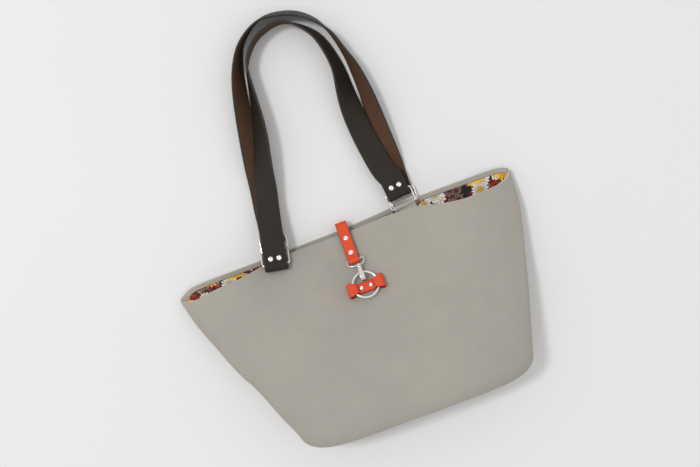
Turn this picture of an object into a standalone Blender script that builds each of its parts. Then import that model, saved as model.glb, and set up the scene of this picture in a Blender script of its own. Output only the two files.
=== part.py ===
"""Leather shoulder bag, lying on its back with the handles laid out beyond its mouth.

The bag's frame: +X is the bag's right, +Y runs from the base to the mouth, +Z is up from the floor.
"""

import math

import bmesh
import bpy
from mathutils import Matrix, Vector

# Overall sizes of the bag, in metres
MOUTH_WIDTH = 0.4576
BASE_WIDTH = 0.3057
BASE_SKEW = 0.0167
BAG_HEIGHT = 0.241
BASE_DEPTH = 0.085
MOUTH_GAPE = 0.024
MOUTH_CENTRE = -0.0092
MOUTH_LEVEL = 0.040

# Leather and cloth
SHELL_WALL = 0.002
LINING_WALL = 0.001
FACING_WALL = 0.0012
FACING_DEPTH = 0.009
LAYER_GAP = 0.0005
CLEARANCE = 0.0003
FLOOR_GAP = 0.0004

# Base corners and edges
CORNER_REACH = 0.038
CORNER_DEPTH = 0.022
EDGE_RADIUS = 0.009
BACK_FLATNESS = 0.02
CROWN = 0.06

# Handles and their rings
HANDLE_SPAN = 0.178
HANDLE_REACH = 0.300
STRAP_WIDTH = 0.030
STRAP_THICKNESS = 0.003
FOLD_SLACK = 0.0037
TAIL_LENGTH = 0.024
RING_WIRE = 0.0028
RING_PITCH = 0.0185
RING_CORNER = 0.0018
TAB_WIDTH = 0.028
TAB_THICKNESS = 0.0015
TAB_INSIDE = 0.020
TAB_LIFT_START = 0.0065
TAB_PAST_RIM = 0.0010
TAB_STEEPNESS = 50.0
WALL_ROOM = 0.0010

# Rivets
RIVET_POST = 0.0025
RIVET_CAP = 0.0068
CAP_HEIGHT = 0.0012
BACK_CAP_HEIGHT = 0.0009
HANDLE_RIVET_SETBACK = 0.0076
HANDLE_RIVET_SPACING = 0.0108
HOLDER_RIVET_SPACING = 0.0126
HOLDER_RIVET_CAP = 0.0056

# Closure strap and clasp, along the front panel from the round ring's centre towards the mouth
CLASP_ACROSS = -0.0055
CLASP_BELOW_MOUTH = 0.0685
CLOSURE_WIDTH = 0.015
CLOSURE_THICKNESS = 0.002
CLOSURE_OFFSET = -0.0035
CLOSURE_REACH = 0.0165
CLOSURE_INSIDE = 0.024
CLOSURE_RIVET_LOW = 0.0465
CLOSURE_RIVET_SPACING = 0.0204
CLOSURE_TAIL_PAST = 0.006
CLOSURE_FOLD_SLACK = 0.0015
CLOSURE_FOLD_LEVEL = 0.0005
CLOSURE_FOLD_RUN = 0.006
D_RING_BAR = 0.036
D_RING_WIDTH = 0.022
D_RING_DEPTH = 0.0098
D_RING_WIRE = 0.0019
D_RING_OFFSET = -0.0021
ROUND_RING_RADIUS = 0.0163
ROUND_RING_WIRE = 0.0034
HOLDER_LENGTH = 0.0486
HOLDER_WAIST = 0.0135
HOLDER_END_WIDTH = 0.0178
HOLDER_THICKNESS = 0.0016
HOLDER_OFFSET = -0.0021

# Snap hook
HOOK_WIDTH = 0.0058
HOOK_THICKNESS = 0.0024
HOOK_EYE = 0.00655
HOOK_BOW_END = 0.0107
GATE_LENGTH = 0.0079
GATE_THICKNESS = 0.0016
GATE_PIN = 0.0016
COLLAR_RADIUS = 0.0036
COLLAR_LENGTH = 0.0030
STEM_RADIUS = 0.0014
HOOK_LIFT = 0.0012
STEM_LIFT = 0.001
EYE_ROOM = 0.0005
EYE_WALL = 0.0009
EYE_WIDTH = 0.0044
JOIN_OVERLAP = 0.0002

# Side lines of the bag: height share, share of the way from base width to mouth width, left and right
SIDE_SPREAD = (
    (0.00, -0.040, -0.060),
    (0.08, 0.000, 0.000),
    (0.25, 0.185, 0.222),
    (0.42, 0.375, 0.452),
    (0.50, 0.494, 0.556),
    (0.60, 0.620, 0.680),
    (0.70, 0.723, 0.800),
    (0.85, 0.881, 0.952),
    (1.00, 1.000, 1.000),
)

# Thickness of the lying bag along its middle: height share, share of BASE_DEPTH
DEPTH_PROFILE = (
    (0.00, 1.000),
    (0.10, 0.995),
    (0.20, 0.935),
    (0.35, 0.825),
    (0.50, 0.705),
    (0.60, 0.610),
    (0.70, 0.507),
    (0.85, 0.345),
    (1.00, 0.190),
)

# The mouth: share across, back rim and front rim beyond the mouth level as shares of BAG_HEIGHT,
# and how much the slit gapes there as a share of MOUTH_GAPE
RIM = (
    (-1.000, -0.008, -0.050, 0.25),
    (-0.920, 0.023, -0.059, 0.58),
    (-0.780, 0.025, -0.038, 0.78),
    (-0.620, 0.026, -0.025, 0.60),
    (-0.490, 0.027, -0.004, 0.26),
    (-0.330, 0.030, 0.010, 0.08),
    (-0.020, 0.036, 0.011, 0.00),
    (0.220, 0.049, 0.021, 0.05),
    (0.400, 0.062, 0.017, 0.19),
    (0.600, 0.064, -0.022, 0.70),
    (0.720, 0.064, -0.034, 1.00),
    (0.875, 0.068, -0.034, 0.86),
    (0.960, 0.070, -0.022, 0.55),
    (1.000, 0.054, 0.012, 0.28),
)

# A section's sides: height share, superellipse's exponent, share of the half width at which the side starts
SQUARENESS = ((0.0, 6.0, 0.95), (0.4, 5.0, 0.95), (0.8, 3.6, 0.95), (1.0, 3.0, 0.95))

# Handle centre lines: share of HANDLE_SPAN across from the mouth's middle, share of HANDLE_REACH beyond
# the mouth level, tilt of the outer face above the horizon in degrees, and how far the strap
# keeps its ring's height
FRONT_HANDLE = (
    (-0.462, 0.198, 90, 0.67),
    (-0.428, 0.280, 78, 0.45),
    (-0.378, 0.404, 54, 0.38),
    (-0.321, 0.527, 39, 0.26),
    (-0.286, 0.659, 22, 0.12),
    (-0.262, 0.774, 9.5, 0.0),
    (-0.221, 0.857, 2, 0.0),
    (-0.121, 0.923, 1, 0.0),
    (0.024, 0.954, 2, 0.0),
    (0.163, 0.932, 11, 0.0),
    (0.263, 0.880, 19, 0.0),
    (0.326, 0.817, 26, 0.0),
    (0.366, 0.712, 31, 0.0),
    (0.363, 0.610, 46, 0.03),
    (0.359, 0.527, 64, 0.18),
    (0.371, 0.404, 84, 0.46),
    (0.398, 0.280, 90, 0.70),
    (0.424, 0.198, 90, 0.88),
)
BACK_HANDLE = (
    (-0.484, 0.198, -90, 0.5),
    (-0.457, 0.297, -82, 0.1),
    (-0.440, 0.404, -65, 0.0),
    (-0.415, 0.527, -50, 0.0),
    (-0.382, 0.659, -39, 0.0),
    (-0.344, 0.774, -27, 0.0),
    (-0.293, 0.858, -16, 0.0),
    (-0.226, 0.926, -2, 0.0),
    (-0.115, 0.977, 7, 0.0),
    (0.040, 0.997, 19, 0.0),
    (0.190, 0.974, 21.5, 0.0),
    (0.290, 0.934, 19, 0.0),
    (0.363, 0.880, 10, 0.0),
    (0.418, 0.817, 0, 0.0),
    (0.451, 0.741, -5, 0.0),
    (0.478, 0.669, -18, 0.0),
    (0.496, 0.567, -29, 0.0),
    (0.501, 0.478, -38, 0.0),
    (0.498, 0.379, -51, 0.0),
    (0.497, 0.280, -68, 0.0),
    (0.497, 0.198, -88, 0.5),
)

# Where each ring's strap bar lies: share of HANDLE_SPAN across from the mouth's middle, share of
# RING_PITCH beyond its own rim, and heading of the strap in degrees from +Y towards +X
RING_PLACES = {
    "front_left": (-0.530, -0.315, 10.0),
    "front_right": (0.466, 1.361, -6.0),
    "back_left": (-0.502, 1.194, 7.0),
    "back_right": (0.493, 0.848, 0.0),
}

# Places along a strap's end from the ring's bar, as shares of the rivets' setback: where the two
# layers close, where the tail and the strap part, where the fold ends and where the strap may bend
STRAP_END = (0.55, 1.5, 1.8, 2.6)

# The ring holder's upper layer, from the rivets up over the round ring: share of the ring's radius,
# share of the way up
HOLDER_RISE = (
    (0.550, 0.00),
    (0.585, 0.02),
    (0.645, 0.19),
    (0.668, 0.45),
    (0.700, 0.73),
    (0.775, 0.94),
    (0.880, 1.00),
)

# How finely the shapes are divided
FRONT_STEPS = 14
SIDE_STEPS = 5
STRAP_STEPS = 3
WIRE_RESOLUTION = 1
ROUND_STEPS = 12

MATERIALS = {
    "grey_leather": ((0.41, 0.39, 0.345), 0.55, 0.0),
    "facing_leather": ((0.36, 0.345, 0.31), 0.6, 0.0),
    "lining_cloth": ((0.35, 0.10, 0.05), 0.85, 0.0),
    "brown_leather": ((0.045, 0.032, 0.026), 0.5, 0.0),
    "orange_leather": ((0.76, 0.085, 0.03), 0.5, 0.0),
    "nickel": ((0.75, 0.74, 0.72), 0.25, 1.0),
}


# Scene, materials and small maths


def clear_scene():
    for obj in list(bpy.data.objects):
        bpy.data.objects.remove(obj)


def material(name):
    found = bpy.data.materials.get(name)
    if found:
        return found
    colour, roughness, metallic = MATERIALS[name]
    made = bpy.data.materials.new(name)
    made.use_nodes = True
    shader = made.node_tree.nodes["Principled BSDF"]
    shader.inputs["Base Color"].default_value = (*colour, 1.0)
    shader.inputs["Roughness"].default_value = roughness
    shader.inputs["Metallic"].default_value = metallic
    return made


def mix(low, high, share):
    return low + (high - low) * share


def ease(low, high, value):
    share = min(1.0, max(0.0, (value - low) / (high - low)))
    return share * share * (3.0 - 2.0 * share)


def smooth_table(rows, column, at):
    """The column's value at this first column's value, through the rows by a cubic without overshoot."""
    at = min(max(at, rows[0][0]), rows[-1][0])
    index = 0
    while index < len(rows) - 2 and at > rows[index + 1][0]:
        index += 1
    steps = [(b[column] - a[column]) / (b[0] - a[0]) for a, b in zip(rows, rows[1:])]

    def slope(i):
        if i == 0 or i == len(rows) - 1:
            return steps[min(i, len(steps) - 1)]
        before, after = steps[i - 1], steps[i]
        return 0.0 if before * after <= 0 else 2.0 * before * after / (before + after)

    here, there = rows[index], rows[index + 1]
    width = there[0] - here[0]
    t = (at - here[0]) / width
    return (
        (2 * t**3 - 3 * t**2 + 1) * here[column]
        + (t**3 - 2 * t**2 + t) * width * slope(index)
        + (3 * t**2 - 2 * t**3) * there[column]
        + (t**3 - t**2) * width * slope(index + 1)
    )


def spline(points, steps):
    """A centripetal curve through the points, with this many steps between two of them."""
    ends = [2 * points[0] - points[1], *points, 2 * points[-1] - points[-2]]
    curve = []
    for p0, p1, p2, p3 in zip(ends, ends[1:], ends[2:], ends[3:]):
        t1 = (p1 - p0).length ** 0.5
        t2 = t1 + (p2 - p1).length ** 0.5
        t3 = t2 + (p3 - p2).length ** 0.5
        for step in range(steps):
            t = mix(t1, t2, step / steps)
            a1 = p0.lerp(p1, t / t1)
            a2 = p1.lerp(p2, (t - t1) / (t2 - t1))
            a3 = p2.lerp(p3, (t - t2) / (t3 - t2))
            b1 = a1.lerp(a2, t / t2)
            b2 = a2.lerp(a3, (t - t1) / (t3 - t1))
            curve.append(b1.lerp(b2, (t - t1) / (t2 - t1)))
    return [*curve, points[-1].copy()]


def arc(centre, radius, start, end, steps):
    """Points of a flat arc, from the start angle to the end angle in degrees."""
    angles = [math.radians(mix(start, end, i / steps)) for i in range(steps + 1)]
    return [Vector((centre[0] + radius * math.cos(a), centre[1] + radius * math.sin(a))) for a in angles]


# Meshes and objects


def add_object(name, mesh, slot, parent, smooth_below=40.0):
    obj = bpy.data.objects.new(name, mesh)
    bpy.context.scene.collection.objects.link(obj)
    if isinstance(mesh, bpy.types.Mesh):
        mesh.shade_smooth()
        mesh.set_sharp_from_angle(angle=math.radians(smooth_below))
    if not mesh.materials:
        mesh.materials.append(material(slot))
    obj.parent = parent
    return obj


def mesh_from(name, bm):
    bmesh.ops.recalc_face_normals(bm, faces=bm.faces)
    mesh = bpy.data.meshes.new(name)
    bm.to_mesh(mesh)
    bm.free()
    return mesh


def loft(name, loops):
    """A closed solid through loops of points, with a flat cap on the first and the last."""
    bm = bmesh.new()
    rings = [[bm.verts.new(point) for point in loop] for loop in loops]
    count = len(rings[0])
    for ring, following in zip(rings, rings[1:]):
        for i in range(count):
            j = (i + 1) % count
            bm.faces.new((ring[i], ring[j], following[j], following[i]))
    bm.faces.new(rings[0])
    bm.faces.new(rings[-1])
    return mesh_from(name, bm)


def turned(name, profile, steps=ROUND_STEPS):
    """A closed solid of revolution round Z: (radius, height) points from one pole to the other."""
    bm = bmesh.new()
    rings = []
    for radius, height in profile:
        if radius == 0.0:
            rings.append([bm.verts.new((0.0, 0.0, height))])
            continue
        turns = [2.0 * math.pi * i / steps for i in range(steps)]
        rings.append([bm.verts.new((radius * math.cos(a), radius * math.sin(a), height)) for a in turns])
    for ring, following in zip(rings, rings[1:]):
        for i in range(steps):
            j = (i + 1) % steps
            if len(ring) == 1:
                bm.faces.new((ring[0], following[i], following[j]))
            elif len(following) == 1:
                bm.faces.new((ring[i], ring[j], following[0]))
            else:
                bm.faces.new((ring[i], ring[j], following[j], following[i]))
    return mesh_from(name, bm)


def block(name, low, high):
    bm = bmesh.new()
    bmesh.ops.create_cube(bm, size=1.0)
    low, high = Vector(low), Vector(high)
    for vert in bm.verts:
        vert.co = Vector(((low[i] + high[i]) / 2 + vert.co[i] * (high[i] - low[i]) for i in range(3)))
    return mesh_from(name, bm)


def rod(name, radius, low, high, steps=ROUND_STEPS):
    return turned(name, ((0.0, low), (radius, low), (radius, high), (0.0, high)), steps)


def ribbon(name, frames, widths, thickness):
    """A strap: each frame is its centre, its width direction and its face's direction."""
    loops = []
    for (centre, across, face), width in zip(frames, widths):
        side, up = across * (width / 2), face * (thickness / 2)
        loops.append([centre - side - up, centre + side - up, centre + side + up, centre - side + up])
    return loft(name, loops)


def flat_frames(path, origin, along, up):
    """Frames of a strap that bends in one plane only, from its path of (along, up) points."""
    across = along.cross(up)
    frames = []
    for i, point in enumerate(path):
        before = (point - path[i - 1]).normalized() if i else None
        after = (path[i + 1] - point).normalized() if i + 1 < len(path) else None
        heading = (after if before is None else before if after is None else before + after).normalized()
        face = along * heading.y - up * heading.x
        frames.append((origin + along * point.x + up * point.y, across, face))
    return frames


def wire_loop(name, points, radius, parent):
    """A closed wire through the points."""
    curve = bpy.data.curves.new(name, "CURVE")
    curve.dimensions = "3D"
    curve.bevel_depth = radius
    curve.bevel_resolution = WIRE_RESOLUTION
    line = curve.splines.new("POLY")
    line.points.add(len(points) - 1)
    for place, point in zip(line.points, points):
        place.co = (*point, 1.0)
    line.use_cyclic_u = True
    line.use_smooth = True
    return add_object(name, curve, "nickel", parent)


def helper(name, mesh, parent, matrix=None):
    """A cutter or a piece to be joined: it isn't a part of the bag by itself."""
    obj = bpy.data.objects.new(name, mesh)
    bpy.context.scene.collection.objects.link(obj)
    obj.parent = parent
    obj.matrix_local = matrix or Matrix.Identity(4)
    obj.hide_render = True
    obj.display_type = "WIRE"
    return obj


def combine(obj, other, operation):
    step = obj.modifiers.new(other.name, "BOOLEAN")
    step.operation = operation
    step.solver = "EXACT"
    step.object = other


def turn_to(x_axis, y_axis, z_axis, origin):
    columns = Matrix((x_axis, y_axis, z_axis)).transposed().to_4x4()
    columns.translation = origin
    return columns


# The bag's own surface


def base_rounding(height):
    """Share of the corner reach and of the edge radius that the section loses near the base."""
    along = min(1.0, height * BAG_HEIGHT / CORNER_DEPTH)
    return 1.0 - math.sqrt(1.0 - (1.0 - along) ** 2)


def half_widths(height):
    """Left and right half widths, and the middle they're measured from."""
    loss = CORNER_REACH * base_rounding(height)
    left = mix(BASE_WIDTH / 2 - BASE_SKEW, MOUTH_WIDTH / 2, smooth_table(SIDE_SPREAD, 1, height))
    right = mix(BASE_WIDTH / 2 + BASE_SKEW, MOUTH_WIDTH / 2, smooth_table(SIDE_SPREAD, 2, height))
    return left - loss, right - loss


def thickness_at(height, across):
    """The lying bag's thickness, with the mouth's slit opening at both ends."""
    body = BASE_DEPTH * smooth_table(DEPTH_PROFILE, 1, height) * (1.0 - CROWN * across**2)
    return body + MOUTH_GAPE * smooth_table(RIM, 3, across) * ease(0.5, 1.0, height)


def rim_line(across, rise):
    """The rim's place along Y, from the back rim at rise 0 to the front rim at rise 1."""
    back, front = smooth_table(RIM, 1, across), smooth_table(RIM, 2, across)
    return MOUTH_LEVEL + BAG_HEIGHT * mix(back, front, ease(0.0, 1.0, rise))


def base_line():
    return MOUTH_LEVEL - BAG_HEIGHT


def section_shape(height):
    """(across share, rise share) round a section: front, down the left, back, up the right."""
    power, side_start = smooth_table(SQUARENESS, 1, height), smooth_table(SQUARENESS, 2, height)
    flats = [mix(side_start, -side_start, i / FRONT_STEPS) for i in range(FRONT_STEPS + 1)]
    corner = math.acos(side_start ** (power / 2))
    sides = []
    for i in range(1, SIDE_STEPS):
        turn = mix(corner, -corner, i / SIDE_STEPS)
        tall = math.copysign(abs(math.sin(turn)) ** (2 / power), turn)
        sides.append((abs(math.cos(turn)) ** (2 / power), tall))
    top = [(s, (1.0 - abs(s) ** power) ** (1 / power)) for s in flats]
    shape = top + [(-s, h) for s, h in sides]
    shape += [(s, -h) for s, h in reversed(top)] + [(s, h) for s, h in reversed(sides)]
    return [(s, max(0.0, (0.5 + 0.5 * h - BACK_FLATNESS) / (1.0 - BACK_FLATNESS))) for s, h in shape]


def section(height, inset):
    """One loop of the bag's surface, moved inwards by the inset."""
    left, right = half_widths(height)
    edge = EDGE_RADIUS * base_rounding(height)
    loop = []
    for across, rise in section_shape(height):
        half = (left if across < 0 else right) - inset
        tall = thickness_at(height, across) - 2 * inset - 2 * edge
        base = base_line() + inset * (1.0 - ease(0.0, 0.3, height))
        y = mix(base, rim_line(across, rise), height)
        loop.append(Vector((MOUTH_CENTRE + across * half, y, inset + edge + rise * tall)))
    return loop


def front_height(x, y):
    """Height of the front panel's outer face above the floor at this place."""
    height = 0.8
    for _ in range(12):
        left, right = half_widths(height)
        across = (x - MOUTH_CENTRE) / (left if x < MOUTH_CENTRE else right)
        across = min(1.0, max(-1.0, across))
        height = (y - base_line()) / (rim_line(across, 1.0) - base_line())
        height = min(1.0, max(0.0, height))
    power = smooth_table(SQUARENESS, 1, height)
    rise = 0.5 + 0.5 * (1.0 - abs(across) ** power) ** (1 / power)
    return thickness_at(height, across) * rise


def front_rim(x):
    """The front rim's place along Y at this X."""
    return rim_line((x - MOUTH_CENTRE) / (MOUTH_WIDTH / 2), 1.0)


def back_rim(x):
    return rim_line((x - MOUTH_CENTRE) / (MOUTH_WIDTH / 2), 0.0)


def body_heights():
    """Height shares of the bag's sections, with one at each edge of the facing."""
    rounding = [1.0 - math.cos(math.radians(a)) for a in (0, 33, 60, 90)]
    shares = [share * CORNER_DEPTH / BAG_HEIGHT for share in rounding]
    facing = 1.0 - FACING_DEPTH / BAG_HEIGHT
    return shares + [0.22, 0.36, 0.5, 0.62, 0.74, 0.85, facing - 2 * CLEARANCE / BAG_HEIGHT, facing, 1.0]


def wall_faces(bm, loops):
    """Joins the loops, low to high, each quad cut the same way so that the walls run parallel."""
    rings = [[bm.verts.new(point) for point in loop] for loop in loops]
    count = len(rings[0])
    for low, high in zip(rings, rings[1:]):
        for i in range(count):
            j = (i + 1) % count
            bm.faces.new((low[i], low[j], high[j]))
            bm.faces.new((low[i], high[j], high[i]))
    return rings[0], rings[-1]


def join_rims(bm, first, second):
    for i in range(len(first)):
        j = (i + 1) % len(first)
        bm.faces.new((first[i], first[j], second[j], second[i]))


def body_wall(name, heights, outer, wall, has_base):
    """A wall that follows the bag's surface between the first and the last height."""
    bm = bmesh.new()
    outer_low, outer_high = wall_faces(bm, [section(height, outer) for height in heights])
    inner_low, inner_high = wall_faces(bm, [section(height, outer + wall) for height in heights])
    join_rims(bm, outer_high, inner_high)
    if has_base:
        bm.faces.new(outer_low)
        bm.faces.new(inner_low)
    else:
        join_rims(bm, outer_low, inner_low)
    return mesh_from(name, bm)


def make_body(parent):
    heights = body_heights()
    within = SHELL_WALL + LAYER_GAP
    shell_mesh = body_wall("body_shell", heights, 0.0, SHELL_WALL, True)
    lining_mesh = body_wall("lining", heights[:-2], within, LINING_WALL, True)
    facing_mesh = body_wall("rim_facing", heights[-2:], within, FACING_WALL, False)
    add_object("rim_facing", facing_mesh, "facing_leather", parent)
    lining = add_object("lining", lining_mesh, "lining_cloth", parent)
    return add_object("body_shell", shell_mesh, "grey_leather", parent), lining


# Rivets


def rivet_mesh(name, grip, cap_width=RIVET_CAP, back_height=CAP_HEIGHT):
    """A domed cap, a post through the leather, and a back cap; z 0 is the middle of the grip."""
    top, post, cap = grip / 2 + CLEARANCE, RIVET_POST / 2, cap_width / 2
    profile = (
        (0.0, -top - back_height),
        (cap * 0.72, -top - back_height * 0.85),
        (cap, -top - back_height * 0.35),
        (cap, -top),
        (post, -top),
        (post, top),
        (cap, top),
        (cap, top + CAP_HEIGHT * 0.35),
        (cap * 0.72, top + CAP_HEIGHT * 0.85),
        (0.0, top + CAP_HEIGHT),
    )
    return turned(name, profile)


def place_rivet(name, mesh, matrix, parent):
    rivet = add_object(name, mesh, "nickel", parent)
    rivet.matrix_local = matrix
    return rivet


def hole_cutter(name, length, matrix, parent):
    return helper(name, rod(name, RIVET_POST / 2 + CLEARANCE, -length / 2, length / 2), parent, matrix)


# Handles, rings and tabs


def bar_heights():
    """Height of each ring's strap bar: straps and rings lie on each other."""
    around = STRAP_THICKNESS + CLEARANCE + RING_WIRE / 2
    low = FLOOR_GAP + around
    stacked = low + 2 * around + CLEARANCE
    x, y = ring_place("front_left")[:2]
    beneath = max(front_height(x, y + step * RING_PITCH) for step in (-0.6, -0.3, 0.0, 0.3))
    resting = beneath + around + CAP_HEIGHT / 2
    return {"front_left": resting, "front_right": stacked, "back_left": low, "back_right": low}


def ring_place(key):
    across, beyond, heading = RING_PLACES[key]
    x = MOUTH_CENTRE + HANDLE_SPAN * across
    rim = front_rim(x) if key.startswith("front") else back_rim(x)
    return x, rim + RING_PITCH * beyond, math.radians(heading)


def ring_frame(key):
    """Origin at the strap's bar, the strap's heading, the outer face's direction and the width direction."""
    x, y, heading = ring_place(key)
    origin = Vector((x, y, bar_heights()[key]))
    along = Vector((math.sin(heading), math.cos(heading), 0.0))
    face = Vector((0.0, 0.0, 1.0 if key.startswith("front") else -1.0))
    return origin, along, face


def end_fold():
    """(along, face) path of a strap's end, from the strap round the ring's bar to the tail's tip."""
    near = (STRAP_THICKNESS + CLEARANCE) / 2
    wide = RING_WIRE / 2 + CLEARANCE + STRAP_THICKNESS / 2
    closes, parts, ends = (HANDLE_RIVET_SETBACK * share for share in STRAP_END[:3])
    strap = [Vector((ends, near)), Vector((parts, near)), Vector((closes, near)), Vector((0.0, wide))]
    turn = arc((-FOLD_SLACK, 0.0), wide, 90.0, 270.0, 8)
    tail = [Vector((p.x, -p.y)) for p in strap[:0:-1]] + [Vector((TAIL_LENGTH, -near))]
    return strap + turn + tail


def strap_centres(rows, left_key, right_key):
    """Centre line points of a handle, each with the tilt of its outer face."""
    heights = bar_heights()
    sign = 1.0 if left_key.startswith("front") else -1.0
    near = (STRAP_THICKNESS + CLEARANCE) / 2
    points = []
    for key in (left_key, right_key):
        origin, along, face = ring_frame(key)
        ends = [origin + along * (HANDLE_RIVET_SETBACK * share) + face * near for share in STRAP_END[2:]]
        ends = [Vector((*end, sign * math.pi / 2)) for end in ends]
        points.append(ends)
    middle = []
    for across, beyond, tilt, keeps in rows:
        end_height = heights[left_key if across < 0 else right_key] + sign * near - STRAP_THICKNESS / 2
        angle = math.radians(tilt)
        rest = STRAP_WIDTH / 2 * abs(math.cos(angle)) + STRAP_THICKNESS / 2 * abs(math.sin(angle))
        x = MOUTH_CENTRE + HANDLE_SPAN * across
        y = MOUTH_LEVEL + HANDLE_REACH * beyond
        middle.append(Vector((x, y, FLOOR_GAP + rest + keeps * end_height, angle)))
    return points[0] + middle + points[1][::-1]


def strap_frames(rows, left_key, right_key):
    """All frames of a handle, from the left tail's tip to the right one's."""
    line = spline(strap_centres(rows, left_key, right_key), STRAP_STEPS)
    frames = []
    for i, point in enumerate(line):
        heading = (line[min(i + 1, len(line) - 1)] - line[max(i - 1, 0)]).to_3d().normalized()
        outward = Vector((-heading.y, heading.x, 0.0)).normalized()
        face = outward * math.cos(point.w) + Vector((0.0, 0.0, math.sin(point.w)))
        face = (face - heading * face.dot(heading)).normalized()
        frames.append((point.to_3d(), heading.cross(face), face))
    fold = end_fold()[1:]
    left, right = ring_frame(left_key), ring_frame(right_key)
    left_end = flat_frames(fold, *left)
    right_end = [(centre, -across, face) for centre, across, face in flat_frames(fold, *right)]
    return left_end[::-1] + frames + right_end


def ring_tilt(key):
    """Unit vector from the strap's bar to the tab's bar."""
    origin, along, _ = ring_frame(key)
    drop = origin.z - tab_bar_height(key)
    away = along if key == "front_left" else -along
    return (away * math.sqrt(RING_PITCH**2 - drop**2) + Vector((0.0, 0.0, -drop))) / RING_PITCH


def tab_layers():
    """Distances from the mouth's outer face to the middle of a tab's first and second layer."""
    first = SHELL_WALL + LAYER_GAP + FACING_WALL + CLEARANCE + TAB_THICKNESS / 2
    return first, first + TAB_THICKNESS + CLEARANCE


def tab_bar_height(key):
    """A back tab lies on the mouth's back wall, and the front ones are lifted by what is under them."""
    first = tab_layers()[0]
    round_bar = RING_WIRE / 2 + CLEARANCE + TAB_THICKNESS / 2
    resting = first + round_bar
    if key.startswith("back"):
        return resting
    if key == "front_right":
        return resting + 2 * round_bar + TAB_THICKNESS + CLEARANCE
    x, _, _ = ring_place(key)
    return front_height(x, front_rim(x)) + RING_WIRE / 2


def ring_path(key):
    """The rectangular ring's wire, with rounded corners."""
    origin, along, _ = ring_frame(key)
    down = ring_tilt(key)
    across = Vector((along.y, -along.x, 0.0))
    half = (STRAP_WIDTH + RING_WIRE) / 2 + 2 * CLEARANCE
    path = []
    for side, is_far, start in ((1, True, 90.0), (1, False, 0.0), (-1, False, -90.0), (-1, True, -180.0)):
        centre_x = side * (half - RING_CORNER)
        centre_y = RING_PITCH - RING_CORNER if is_far else RING_CORNER
        for point in arc((centre_x, centre_y), RING_CORNER, start, start - 90.0, 3):
            path.append(origin + across * point.x + down * point.y)
    return path


def tab_frames(key):
    """Frames of a tab: out of the mouth, round the ring's bar and back into the mouth."""
    _, _, heading = ring_place(key)
    bar = ring_frame(key)[0] + ring_tilt(key) * RING_PITCH
    along = Vector((math.sin(heading), math.cos(heading), 0.0))
    across = Vector((along.y, -along.x, 0.0)) * (TAB_WIDTH / 2)
    first, second = tab_layers()
    is_front = key.startswith("front")
    sides = [bar + across * side for side in (-1.0, 0.0, 1.0)]
    rims = [((front_rim(p.x) if is_front else back_rim(p.x)) - p.y) / along.y for p in sides]
    rim = rims[1]
    inside = min(rim, 0.0) - TAB_INSIDE
    lift = max(rims) + TAB_PAST_RIM if is_front else -TAB_LIFT_START

    def level(distance, layer):
        if not is_front:
            return layer - bar.z
        place = bar + along * distance
        return front_height(place.x, place.y) - layer - WALL_ROOM - bar.z

    round_bar = RING_WIRE / 2 + CLEARANCE + TAB_THICKNESS / 2
    steepness = TAB_STEEPNESS if key == "front_left" else 0.0
    leave = math.radians(steepness)
    out = Vector((math.cos(leave), math.sin(leave)))
    top = Vector((-out.y, out.x)) * round_bar

    def run(layer, later, end):
        distances = (inside, mix(inside, lift, 0.6), lift - TAB_THICKNESS + later, lift + later)
        points = [Vector((d, level(min(d, rim), layer))) for d in distances]
        curve = spline([p.to_3d() for p in [*points, end - out * TAB_THICKNESS, end]], 3)
        return [p.to_2d() for p in curve[:-1]]

    later = (second - first) * math.tan(leave / 2)
    upper = run(first if is_front else second, 0.0, top)
    lower = run(second if is_front else first, later, -top)
    path = upper + arc((0.0, 0.0), round_bar, steepness + 90.0, steepness - 90.0, 8) + lower[::-1]
    slope = 0.0
    if is_front:
        left, right = bar + along * rim - across, bar + along * rim + across
        slope = (front_height(right.x, right.y) - front_height(left.x, left.y)) / TAB_WIDTH
    frames = []
    for point, (centre, side, face) in zip(path, flat_frames(path, bar, along, Vector((0.0, 0.0, 1.0)))):
        lean = slope * (1.0 - ease(lift, -TAB_THICKNESS, point.x))
        heading_3d = side.cross(face)
        tilted = (side + Vector((0.0, 0.0, lean))).normalized()
        frames.append((centre, tilted, heading_3d.cross(tilted).normalized()))
    return frames


def make_handle(name, rows, left_key, right_key, parent):
    frames = strap_frames(rows, left_key, right_key)
    mesh = ribbon(name, frames, [STRAP_WIDTH] * len(frames), STRAP_THICKNESS)
    handle = add_object(name, mesh, "brown_leather", parent)
    grip = 2 * STRAP_THICKNESS + CLEARANCE
    for key in (left_key, right_key):
        origin, along, face = ring_frame(key)
        across = along.cross(face)
        for index, side in enumerate((-1, 1), start=1):
            middle = origin + along * HANDLE_RIVET_SETBACK + across * (side * HANDLE_RIVET_SPACING / 2)
            matrix = turn_to(across, face.cross(across), face, middle)
            cutter = hole_cutter(f"{name}_hole_{key}_{index}", grip * 2, matrix, parent)
            combine(handle, cutter, "DIFFERENCE")
            rivet = bpy.data.meshes.get("handle_rivet") or rivet_mesh("handle_rivet", grip)
            place_rivet(f"handle_rivet_{key}_{index}", rivet, matrix, parent)


def make_ring_and_tab(key, parent):
    wire_loop(f"handle_ring_{key}", ring_path(key), RING_WIRE / 2, parent)
    frames = tab_frames(key)
    mesh = ribbon(f"handle_tab_{key}", frames, [TAB_WIDTH] * len(frames), TAB_THICKNESS)
    add_object(f"handle_tab_{key}", mesh, "grey_leather", parent)


# Closure strap and clasp, in the clasp's frame: X across, Y up the panel to the mouth, Z off the panel


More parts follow.
